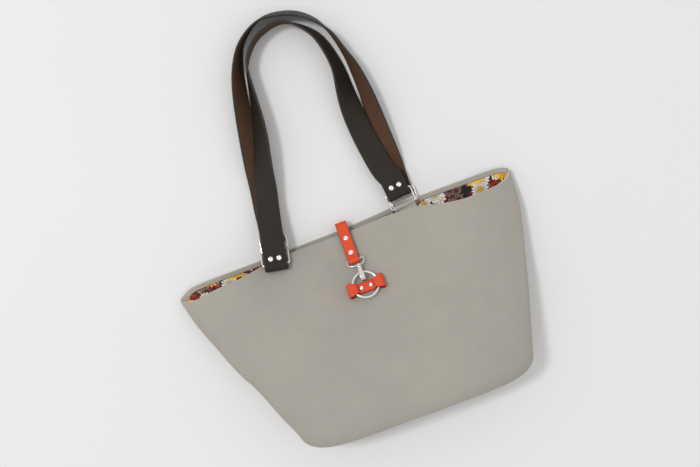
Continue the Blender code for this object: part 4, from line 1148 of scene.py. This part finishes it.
def printed_cotton(name):
    """A cotton print: flowers of several kinds over dark leaves, on a fine plain weave, with painted shade
    darkening its creases.
    """
    made = Finish(name, roughness=0.85, Sheen_Weight=0.1)
    flat = made.node("ShaderNodeUVMap", uv_map="metres").outputs["UV"]
    ground_tones = [(0.0, WINE), (0.44, BLACK), (0.54, WINE), (0.63, MOSS)]
    ground = made.steps(made.noise(0.030, 1.5, 0.4, flat), ground_tones)
    stretched = made.vector("MULTIPLY", flat, (1.0, 2.6, 1.0))
    leaf = made.cells(0.021, "DISTANCE_TO_EDGE", stretched, 0.9, True).outputs["Distance"]
    leaf_tone = made.steps(made.noise(0.024, 1.0, 0.4, flat), [(0.0, TAUPE), (0.45, MOSS), (0.56, SAND)])
    colour = made.blend(made.remap(leaf, 0.16, 0.2), ground, leaf_tone)
    colour = made.blend(made.remap(made.noise(0.02, 1.0, 0.4, flat), 0.48, 0.5), ground, colour)
    white = (IVORY, SAND, GOLD)
    wine = (RED, WINE, BLACK)
    amber = (GOLD, AMBER, UMBER)
    sand = (TAUPE, UMBER, BLACK)
    for size, petals, kinds, shown, seed in (
        (0.017, 9, (wine, sand, white), 0.8, 3.1),
        (0.029, 17, (white, wine, amber, white), 0.85, 5.7),
        (0.040, 21, (amber, wine, amber), 0.62, 4.4),
    ):
        layer, mask = flowers(made, flat, size, petals, kinds, shown, seed)
        colour = made.blend(mask, colour, layer)
    split = made.node("ShaderNodeSeparateXYZ", {"Vector": flat})
    waves = [made.calc("MULTIPLY", split.outputs[axis], 2 * math.pi / THREAD_PITCH) for axis in "XY"]
    weave = made.calc("MULTIPLY", *(made.calc("SINE", wave) for wave in waves))
    # The cloth's creases give its relief, and darken it towards black as painted shade
    creases = made.noise(0.02, 4.0, 0.6)
    colour = made.blend(made.remap(creases, 0.3, 0.7, 0.16, 0.0), colour, BLACK)
    return made.finish(colour, None, made.bump(creases, 0.0008, made.bump(weave, 0.00004)))


# The print's colours and its cloth's threads, and then the colours of leather and metal
THREAD_PITCH = 0.0007
BLACK = (0.010, 0.008, 0.008)
PETAL_GAP = (0.03, 0.03, 0.03)
SEED = (0.05, 0.02, 0.01)
WINE = (0.145, 0.008, 0.010)
RED = (0.52, 0.018, 0.012)
MOSS = (0.030, 0.040, 0.014)
UMBER = (0.10, 0.035, 0.012)
TAUPE = (0.26, 0.16, 0.13)
SAND = (0.55, 0.42, 0.24)
AMBER = (0.88, 0.24, 0.010)
GOLD = (0.95, 0.56, 0.03)
IVORY = (0.93, 0.92, 0.86)

GREY = (0.382, 0.355, 0.309)
PALE = (0.66, 0.635, 0.58)
DARK = (0.025, 0.0185, 0.0135)
BROWN = (0.090, 0.048, 0.028)
ORANGE = (0.72, 0.072, 0.020)
DEEP_RED = (0.30, 0.020, 0.012)
SILVER = (0.86, 0.85, 0.83)

GREY_LEATHER = leather("grey_grain", GREY, 0.07, grain_size=0.0011, roughness=0.55)
# The facing is the grey leather made 14% lighter: painted light on the band inside the mouth
LIT_GREY_FACING = leather("lit_grey_facing", shade(GREY, 1.14), 0.05, grain_size=0.0009)
GREY_EDGE = cut_edge("grey_cut_edge", PALE)
DARK_LEATHER = leather("dark_brown_grain", DARK, 0.16, worn=0.08, gloss=0.22)
BROWN_SUEDE = suede("brown_flesh_side", BROWN)
DARK_EDGE = cut_edge("dark_cut_edge", shade(DARK, 0.7))
ORANGE_LEATHER = leather("orange_grain", ORANGE, 0.08, grain_depth=0.00004, gloss=0.3)
ORANGE_FLESH = suede("orange_flesh_side", DEEP_RED)
ORANGE_EDGE = cut_edge("orange_cut_edge", DEEP_RED)
NICKEL = metal("nickel", SILVER)
HAMMERED = metal("hammered_nickel", SILVER, roughness=0.2, hammered=0.00012)
COTTON = printed_cotton("floral_cotton")
GREY_FLESH = suede("grey_flesh_side", shade(GREY, 0.8))


# The bag's walls


def relief_at(points, normals):
    """How far each point of the outer surface stands out: the panel's swells and dents, and soft waves."""
    x, y = points[..., 0], points[..., 1]
    up = np.clip(normals[..., 2], 0.0, 1.0)
    total = np.zeros(x.shape)
    for across, along, reach, breadth, heading, height in FRONT_RELIEF:
        turn = math.radians(heading)
        u = (x - across) * math.cos(turn) + (y - along) * math.sin(turn)
        v = (y - along) * math.cos(turn) - (x - across) * math.sin(turn)
        total += height * np.exp(-((u / reach) ** 2) - (v / breadth) ** 2) * up
    flat = points.reshape(-1, 3)
    waves = np.array([noise.noise(Vector(p) / RELIEF_WAVE_SIZE) for p in flat]).reshape(x.shape)
    from_x, from_y = (x - CALM_MIDDLE[0]) / CALM_REACH[0], (y - CALM_MIDDLE[1]) / CALM_REACH[1]
    calm = 1.0 - np.exp(-(from_x**2) - from_y**2)
    off_floor = np.clip((points[..., 2] - CALM_FLOOR[0]) / CALM_FLOOR[1], 0.0, 1.0)
    return total + RELIEF_WAVES * waves * calm * off_floor


def wall_rows(heights, inset):
    return np.array([[tuple(p) for p in section(height, inset)] for height in heights])


def shell_heights():
    """Height shares, closer together round the base's edge."""
    start, end = CORNER_DEPTH / BAG_HEIGHT, 1.0 - 0.0008 / BAG_HEIGHT
    edge = [(1.0 - math.cos(math.pi / 2 * i / SHELL_EDGE_ROWS)) * start for i in range(SHELL_EDGE_ROWS)]
    return edge + [mix(start, end, i / SHELL_ROWS) for i in range(SHELL_ROWS + 1)]


def outer_moves():
    """How far the relief moves each point of the outer wall."""
    along = np.roll(OUTER, -1, axis=1) - np.roll(OUTER, 1, axis=1)
    normals = np.cross(along, np.gradient(OUTER, axis=0))
    normals /= np.linalg.norm(normals, axis=2, keepdims=True)
    if normals[SHELL_ROWS // 2, FRONT_STEPS // 2, 2] < 0:
        normals = -normals
    return normals * relief_at(OUTER, normals)[..., None]


HEIGHTS = shell_heights()
OUTER = wall_rows(HEIGHTS, 0.0)
MOVES = outer_moves()


def moves_at(height):
    """The relief's moves round the section at this height."""
    at = np.interp(height, HEIGHTS, np.arange(len(HEIGHTS)))
    low = int(at)
    high = min(low + 1, len(HEIGHTS) - 1)
    return MOVES[low] * (1.0 - (at - low)) + MOVES[high] * (at - low)


def wall_loop(height, inset):
    return wall_rows([height], inset)[0] + moves_at(height)


def capped(loop):
    """Loops that close a wall's end towards its middle, and the middle itself."""
    middle = loop.mean(axis=0)
    middle[0] = (loop[:, 0].min() + loop[:, 0].max()) / 2
    return [middle + (loop - middle) * share for share in CAP_SHARES], middle


def wall_mesh(name, loops, is_capped):
    """A closed mesh through loops, with its ends capped or else joined to each other."""
    count = len(loops[0])
    middles = []
    if is_capped:
        first, first_middle = capped(loops[0])
        last, last_middle = capped(loops[-1])
        loops = first[::-1] + loops + last
        middles = [(0, first_middle), (len(loops) - 1, last_middle)]
    points = [point for loop in loops for point in loop]
    faces = grid_faces(len(loops), count)
    for row, middle in middles:
        for i in range(count):
            faces.append((row * count + i, row * count + (i + 1) % count, len(points)))
        points.append(middle)
    if not middles:
        last = (len(loops) - 1) * count
        faces += [(last + i, last + (i + 1) % count, (i + 1) % count, i) for i in range(count)]
    return closed_mesh(name, points, faces)


def make_shell():
    """Outer wall from the base up, over the rim's cut edge, and the inner wall down again."""
    loops = list(OUTER + MOVES)
    rim = [(1.0 - 0.00025 / BAG_HEIGHT, 0.0001), (1.0, RIM_ROUNDING), (1.0, SHELL_WALL - RIM_ROUNDING)]
    loops += [wall_loop(height, inset) for height, inset in rim]
    inner = [wall_loop(height, SHELL_WALL) for height in HEIGHTS[::6][::-1]]
    mesh = wall_mesh("leather_shell", loops + inner, True)
    bands = [(0, len(CAP_SHARES) + len(OUTER)), (1, len(rim) - 1), (2, len(inner) + len(CAP_SHARES))]
    bands += [(0, 1), (2, 1)]
    marks = [kind for kind, rows in bands for _ in range(rows * len(OUTER[0]))]
    mesh.polygons.foreach_set("material_index", marks)
    add_piece("leather_shell", mesh, (GREY_LEATHER, GREY_EDGE, GREY_FLESH), ["body_shell"])


def make_lining():
    """The cloth inner bag, a little puckered inside the mouth."""
    within = SHELL_WALL + LAYER_GAP
    top = 1.0 - (FACING_SHOWN + 2 * CLEARANCE) / BAG_HEIGHT
    heights = [mix(0.0, top, (i / LINING_ROWS) ** 0.9) for i in range(LINING_ROWS + 1)]
    outer = [wall_loop(height, within) for height in heights[::5]]
    inner = []
    for height in heights[::-1]:
        loop = wall_loop(height, within + LINING_WALL)
        middle = loop.mean(axis=0)
        pull = ease(0.05, 0.3, height) * (1.0 - ease(top - 0.02, top, height))
        for i, point in enumerate(loop):
            broad, fine = (noise.noise(Vector(point) / size) for size in PUCKER_SIZES)
            rise = PUCKER_HEIGHT * max(0.0, broad + 0.5 * fine) * pull
            inward = np.array((0.0, 0.0, math.copysign(rise, middle[2] - point[2])))
            loop[i] = point + inward
        inner.append(loop)
    mesh = wall_mesh("printed_lining", outer + inner, True)
    count = len(inner[0])
    round_it = np.linalg.norm(np.roll(inner[3], -1, axis=0) - inner[3], axis=1)
    along = np.concatenate([[0.0], np.cumsum(round_it)])
    layer = mesh.uv_layers.new(name="metres")
    for polygon in mesh.polygons:
        columns = [mesh.loops[i].vertex_index % count for i in polygon.loop_indices]
        for i in polygon.loop_indices:
            vertex = mesh.loops[i].vertex_index
            column = vertex % count
            wraps = column == 0 and max(columns) == count - 1
            layer.data[i].uv = (along[count] if wraps else along[column], mesh.vertices[vertex].co.y)
    add_piece("printed_lining", mesh, (COTTON,), ["lining"])


def make_facing():
    """The grey leather band inside the mouth, made lighter as painted light, with a pressed line along its
    middle.
    """
    within = SHELL_WALL + LAYER_GAP
    low, high = 1.0 - FACING_SHOWN / BAG_HEIGHT, 1.0 - 0.0003 / BAG_HEIGHT
    outer = [wall_loop(mix(low, high, i / 4), within) for i in range(5)]
    inner = []
    for share in FACING_SHARES:
        groove = GROOVE_DEPTH * math.exp(-(((share - 0.5) / 0.045) ** 2))
        near_edges = math.exp(-((share / 0.05) ** 2)) + math.exp(-(((1.0 - share) / 0.05) ** 2))
        edge = FACING_ROUNDING * near_edges
        inner.append(wall_loop(mix(low, high, share), within + FACING_WALL - groove - edge))
    mesh = wall_mesh("mouth_facing", outer + inner, False)
    add_piece("mouth_facing", mesh, (LIT_GREY_FACING,), ["rim_facing"])


# Handles, rings and tabs


def make_handle(name, rows, left_key, right_key, node):
    frames = strap_frames(rows, left_key, right_key)
    mesh = strap_mesh(name, frames, [STRAP_WIDTH] * len(frames), STRAP_THICKNESS, tip=HANDLE_TIP)
    add_piece(name, mesh, (DARK_LEATHER, BROWN_SUEDE, DARK_EDGE), [node])
    grip = 2 * STRAP_THICKNESS + CLEARANCE
    for key in (left_key, right_key):
        origin, along, face = ring_frame(key)
        across = along.cross(face)
        for index, side in enumerate((-1, 1), start=1):
            middle = origin + along * HANDLE_RIVET_SETBACK + across * (side * HANDLE_RIVET_SPACING / 2)
            matrix = turn_to(across, face.cross(across), face, middle)
            make_rivet(f"handle_rivet_{key}_{index}", grip, RIVET_CAP, CAP_HEIGHT, matrix)


def make_rivet(node, grip, cap_width, back_height, matrix):
    """A hammered cap with a dimple in its middle, the post, and a plain back cap."""
    top, post, cap = grip / 2 + CLEARANCE, RIVET_POST / 2, cap_width / 2
    seed = Vector((matrix.translation.x, matrix.translation.y, 0.0)) * 900.0

    def ripple(point):
        if point.z < top + CAP_HEIGHT * 0.3:
            return point
        return point + Vector((0.0, 0.0, RIPPLE_HEIGHT * noise.noise(point / RIPPLE_SIZE + seed)))

    profile = [(0.0, -top - back_height)]
    profile += [(cap * share, -top - back_height * rise) for share, rise in RIVET_BACK]
    profile += [(post, -top), (post, top)]
    profile += [(cap * share, top + CAP_HEIGHT * rise) for share, rise in RIVET_DOME]
    profile += [(0.0, top + CAP_HEIGHT * RIVET_DIMPLE)]
    mesh = turned(f"{node}_hammered", profile, ripple)
    add_piece(f"{node}_hammered", mesh, (HAMMERED,), [node], matrix=matrix)


def make_ring_and_tab(key):
    path = ring_path(key)
    _, along, _ = ring_frame(key)
    normal = Vector((along.y, -along.x, 0.0)).cross(ring_tilt(key)).normalized()
    mesh = tube(f"wire_ring_{key}", path, normal, RING_WIRE / 2)
    add_piece(f"wire_ring_{key}", mesh, (NICKEL,), [f"handle_ring_{key}"])
    frames = tab_frames(key)
    widths = [TAB_WIDTH] * len(frames)
    mesh = strap_mesh(f"leather_tab_{key}", frames, widths, TAB_THICKNESS, edge_share=0.45)
    materials = (GREY_FLESH, GREY_LEATHER, GREY_EDGE)
    add_piece(f"leather_tab_{key}", mesh, materials, [f"handle_tab_{key}"])


# Closure strap and clasp


def make_closure():
    along, face = Vector((0.0, 1.0, 0.0)), Vector((0.0, 0.0, 1.0))
    path = smooth_path(closure_path(CLASP), 5)
    frames = flat_frames(path, Vector((CLOSURE_OFFSET, 0.0, 0.0)), along, face)
    widths = [CLOSURE_WIDTH] * len(frames)
    mesh = strap_mesh("orange_strap", frames, widths, CLOSURE_THICKNESS, tip=CLOSURE_TIP)
    materials = (ORANGE_FLESH, ORANGE_LEATHER, ORANGE_EDGE)
    add_piece("orange_strap", mesh, materials, ["closure_strap"], matrix=CLASP)
    under, upper = closure_layers()
    grip = 2 * CLOSURE_THICKNESS + CLEARANCE
    for index in range(2):
        place = (CLOSURE_OFFSET, CLOSURE_RIVET_LOW + index * CLOSURE_RIVET_SPACING, (under + upper) / 2)
        matrix = CLASP @ Matrix.Translation(place)
        make_rivet(f"closure_rivet_{index + 1}", grip, RIVET_CAP, BACK_CAP_HEIGHT, matrix)


def d_ring_levels():
    """The D ring's bar, and the unit vector from it to the bow."""
    bar = closure_layers()[0] + CLOSURE_THICKNESS / 2 + CLEARANCE + D_RING_WIRE / 2
    drop = hook_levels()[2] - bar
    return bar, Vector((0.0, -math.sqrt(D_RING_DEPTH**2 - drop**2), drop)) / D_RING_DEPTH


def make_rings_of_clasp():
    place = round_ring_matrix()
    turns = [2.0 * math.pi * i / ROUND_RING_STEPS for i in range(ROUND_RING_STEPS)]
    circle = [place @ (Vector((math.cos(a), math.sin(a), 0.0)) * ROUND_RING_RADIUS) for a in turns]
    normal = place.to_3x3() @ Vector((0.0, 0.0, 1.0))
    mesh = tube("round_ring", circle, normal, ROUND_RING_WIRE / 2)
    add_piece("round_ring", mesh, (NICKEL,), ["clasp_ring"], matrix=CLASP)
    bar_z, down = d_ring_levels()
    bar = Vector((D_RING_OFFSET, D_RING_BAR, bar_z))
    path = []
    for i in range(D_RING_STEPS + 1):
        angle = math.pi * i / D_RING_STEPS
        x = math.copysign(abs(math.cos(angle)) ** (2 / 3), math.cos(angle)) * D_RING_WIDTH / 2
        path.append(bar + Vector((x, 0.0, 0.0)) + down * (abs(math.sin(angle)) ** (2 / 3) * D_RING_DEPTH))
    normal = Vector((1.0, 0.0, 0.0)).cross(down).normalized()
    mesh = tube("d_ring", path, normal, D_RING_WIRE / 2)
    add_piece("d_ring", mesh, (NICKEL,), ["closure_d_ring"], matrix=CLASP)


def make_holder():
    under = CLEARANCE + HOLDER_THICKNESS / 2
    waist = under + HOLDER_THICKNESS + CLEARANCE
    round_wire = ROUND_RING_WIRE / 2 + CLEARANCE + HOLDER_THICKNESS / 2
    edge = HOLDER_END_WIDTH / 2 + HOLDER_OFFSET
    top = (round_ring_matrix() @ Vector((0.0, edge, 0.0))).z + round_wire
    bend = (top - under) / 2
    turn = HOLDER_LENGTH / 2 - HOLDER_THICKNESS / 2 - bend
    right = [Vector((ROUND_RING_RADIUS * share, mix(waist, top, rise))) for share, rise in HOLDER_RISE]
    right += arc((turn, (top + under) / 2), bend, 90.0, -90.0, 12)
    left = [Vector((-p.x, p.y)) for p in right]
    seam = HOLDER_THICKNESS / 4
    path = [Vector((-seam, under))] + left[::-1] + right + [Vector((seam, under))]
    path = smooth_path(path, 4)
    middle = Vector((0.0, HOLDER_OFFSET, 0.0))
    frames = flat_frames(path, middle, Vector((1.0, 0.0, 0.0)), Vector((0.0, 0.0, 1.0)))
    waist_x, end_x = ROUND_RING_RADIUS * 0.84, ROUND_RING_RADIUS * 1.15
    widths = [mix(HOLDER_WAIST, HOLDER_END_WIDTH, ease(waist_x, end_x, abs(p.x))) for p in path]
    mesh = strap_mesh("orange_holder", frames, widths, HOLDER_THICKNESS)
    materials = (ORANGE_FLESH, ORANGE_LEATHER, ORANGE_EDGE)
    add_piece("orange_holder", mesh, materials, ["ring_holder"], matrix=CLASP)
    high = waist + HOLDER_THICKNESS / 2
    low = -(SHELL_WALL + LAYER_GAP + LINING_WALL) * 1.5
    for index, side in enumerate((-1, 1), start=1):
        place = Matrix.Translation((side * HOLDER_RIVET_SPACING / 2, HOLDER_OFFSET, (high + low) / 2))
        make_rivet(f"holder_rivet_{index}", high - low, HOLDER_RIVET_CAP, CAP_HEIGHT, CLASP @ place)


def snap_places():
    """The bow's centre and radius, then where the nose ends, the gate's pin and the hook's shoulder."""
    gate_level, _, _, spine_level = hook_levels()
    wire_y = (round_ring_matrix() @ Vector((0.0, ROUND_RING_RADIUS, 0.0))).y
    radius = (spine_level - gate_level) / 2
    bow = (wire_y - HOOK_BOW_END + radius + HOOK_THICKNESS / 2, (spine_level + gate_level) / 2)
    nose = bow[0] + GATE_THICKNESS * 0.6
    pin = nose + CLEARANCE + GATE_LENGTH
    return bow, radius, nose, pin, pin - GATE_PIN


def lying_stem():
    """Turns a rod from upright to along the clasp, at the stem's height."""
    return Matrix.Translation((0.0, 0.0, hook_levels()[2])) @ Matrix.Rotation(-QUARTER_TURN, 4, "X")


def make_hook():
    """The hook's spine with its shoulder, stem, ears and pin."""
    gate_level, _, _, spine_level = hook_levels()
    bow, bow_radius, nose, pin, shoulder = snap_places()
    ends = (shoulder + HOOK_THICKNESS * 0.9, bow[0] + HOOK_THICKNESS * 0.4)
    path = [Vector((mix(ends[0], ends[1], i / 8), spine_level)) for i in range(9)]
    path += arc(bow, bow_radius, 90.0, 270.0, 28) + [Vector((nose, gate_level))]
    frames = flat_frames(path, Vector((0.0, 0.0, 0.0)), Vector((0.0, 1.0, 0.0)), Vector((0.0, 0.0, 1.0)))
    widths = [mix(HOOK_WIDTH * 0.86, HOOK_WIDTH * 1.12, ease(shoulder, bow[0], p.x)) for p in path]
    widths[-1] = HOOK_WIDTH * 0.8
    spine = strap_mesh("hook_spine", frames, widths, HOOK_THICKNESS, edge_share=0.46)
    still = Matrix.Identity(4)
    sideways = Matrix.Translation((0.0, pin, gate_level)) @ SIDEWAYS
    high_end = pin + EAR_RADIUS
    low = (-HOOK_HALF, shoulder + JOIN_OVERLAP, gate_level + 2 * GATE_PIN)
    high = (HOOK_HALF, high_end, spine_level + HOOK_THICKNESS * 0.4)
    stem_top = high_end + CLEARANCE + COLLAR_LENGTH * 0.5
    stem = rod_mesh("stem", STEM_RADIUS, shoulder + HOOK_THICKNESS / 2, stem_top)
    parts = [(box_mesh("shoulder", low, high, 0.0007), still, "UNION"), (stem, lying_stem(), "UNION")]
    ear_starts = (-HOOK_HALF - JOIN_OVERLAP, HOOK_HALF + JOIN_OVERLAP - EAR)
    for name, inner in zip(("ear_left", "ear_right"), ear_starts):
        low = (inner, pin - EAR_RADIUS * 0.7, gate_level)
        high = (inner + EAR, pin + EAR_RADIUS * 0.7, gate_level + 3 * GATE_PIN)
        parts.append((box_mesh(name, low, high), still, "UNION"))
        start, end = inner - JOIN_OVERLAP / 2, inner + EAR + JOIN_OVERLAP / 2
        parts.append((rod_mesh(f"{name}_disc", EAR_RADIUS, start, end, 0.0002), sideways, "UNION"))
    parts.append((rod_mesh("pin", GATE_PIN / 2, -HOOK_HALF, HOOK_HALF), sideways, "UNION"))
    hook = solid("snap_body", spine, *parts)
    add_piece("snap_body", hook, (NICKEL,), ["snap_hook"], matrix=CLASP, sharp_above=30.0)


def make_gate():
    """The sprung gate, whose barrel turns on the pin between the hook's ears."""
    _, _, nose, pin, _ = snap_places()
    room = HOOK_HALF - EAR - CLEARANCE
    low = (-room, nose + CLEARANCE - pin, -GATE_THICKNESS / 2)
    high = (room, -GATE_PIN / 2, GATE_THICKNESS / 2)
    barrel = (rod_mesh("barrel", GATE_PIN, -room, room, 0.0002), SIDEWAYS, "UNION")
    bore = (rod_mesh("bore", GATE_PIN / 2 + CLEARANCE, -HOOK_WIDTH, HOOK_WIDTH), SIDEWAYS, "DIFFERENCE")
    gate = solid("sprung_gate", box_mesh("gate_bar", low, high, 0.0003), barrel, bore)
    place = CLASP @ Matrix.Translation((0.0, pin, hook_levels()[0]))
    add_piece("sprung_gate", gate, (NICKEL,), ["snap_gate"], "gate", 30.0, place)


def make_swivel():
    """The collar round the stem, with the eye that the D ring passes through."""
    low = snap_places()[3] + EAR_RADIUS + CLEARANCE
    high = low + COLLAR_LENGTH
    neck = COLLAR_RADIUS * 0.80
    floor_level = low + COLLAR_LENGTH * 0.6
    bore = STEM_RADIUS + CLEARANCE
    profile = [(0.0, floor_level), (bore, floor_level), (bore, low), (neck, low)]
    for angle in range(-80, 81, 16):
        bend = math.radians(angle)
        radius = COLLAR_RADIUS * (0.80 + 0.20 * math.cos(bend))
        profile.append((radius, low + COLLAR_LENGTH * (0.5 + 0.5 * math.sin(bend))))
    profile += [(neck, high), (0.0, high)]
    collar = turned("swivel", profile)
    collar.transform(lying_stem())
    bow_y = D_RING_BAR + d_ring_levels()[1].y * D_RING_DEPTH
    across = Matrix.Translation((0.0, bow_y, hook_levels()[2])) @ SIDEWAYS
    eye_bore = D_RING_WIRE / 2 + EYE_ROOM
    eye = (rod_mesh("eye", eye_bore + EYE_WALL, -EYE_WIDTH / 2, EYE_WIDTH / 2, 0.0006), across, "UNION")
    hole = (rod_mesh("eye_hole", eye_bore, -COLLAR_RADIUS * 2, COLLAR_RADIUS * 2), across, "DIFFERENCE")
    swivel = solid("swivel_collar", collar, eye, hole)
    add_piece("swivel_collar", swivel, (NICKEL,), ["snap_swivel"], matrix=CLASP, sharp_above=30.0)


make_shell()
make_lining()
make_facing()
for ring_key in RING_PLACES:
    make_ring_and_tab(ring_key)
make_handle("front_strap", FRONT_HANDLE, "front_left", "front_right", "front_handle")
make_handle("back_strap", BACK_HANDLE, "back_left", "back_right", "back_handle")
make_closure()
make_rings_of_clasp()
make_holder()
make_hook()
make_gate()
make_swivel()


# Floor, light and camera


MIDDLE = Vector(VIEW_MIDDLE) + SHIFT


def make_floor():
    mesh = bpy.data.meshes.new("floor")
    corners = [(x * FLOOR_REACH, y * FLOOR_REACH, 0.0) for x, y in ((-1, -1), (1, -1), (1, 1), (-1, 1))]
    mesh.from_pydata(corners, [], [(0, 1, 2, 3)])
    made = Finish("pale_paper", roughness=0.75)
    tone = made.noise(0.4, 2.0, 0.5)
    mesh.materials.append(made.finish(made.blend(tone, (0.77, 0.77, 0.775), (0.80, 0.80, 0.79))))
    floor = new_object("floor", mesh)


def make_light():
    """A soft key light from the upper left, and an even white studio round it."""
    light = bpy.data.lights.new("key", "AREA")
    light.energy = KEY_POWER
    light.shape = "DISK"
    light.size = KEY_SIZE
    lamp = new_object("key", light)
    lamp.location = MIDDLE + Vector(KEY_PLACE)
    lamp.rotation_mode = "QUATERNION"
    lamp.rotation_quaternion = (-Vector(KEY_PLACE)).to_track_quat("-Z", "Y")
    world = bpy.data.worlds.new("studio")
    bpy.context.scene.world = world
    world.use_nodes = True
    background = world.node_tree.nodes["Background"]
    background.inputs["Color"].default_value = (1.0, 1.0, 1.0, 1.0)
    background.inputs["Strength"].default_value = WORLD_LIGHT
    bpy.context.scene.view_settings.view_transform = "Standard"


def make_camera():
    """The photograph's view, straight from above."""
    camera = bpy.data.cameras.new("camera")
    camera.sensor_width = 36.0
    camera.lens = camera.sensor_width * CAMERA_HEIGHT / VIEW_WIDTH
    eye = new_object("camera", camera)
    eye.location = MIDDLE + Vector((0.0, 0.0, CAMERA_HEIGHT))
    eye.rotation_euler = (0.0, 0.0, math.radians(CAMERA_TURN))
    bpy.context.scene.camera = eye


make_floor()
make_light()
make_camera()
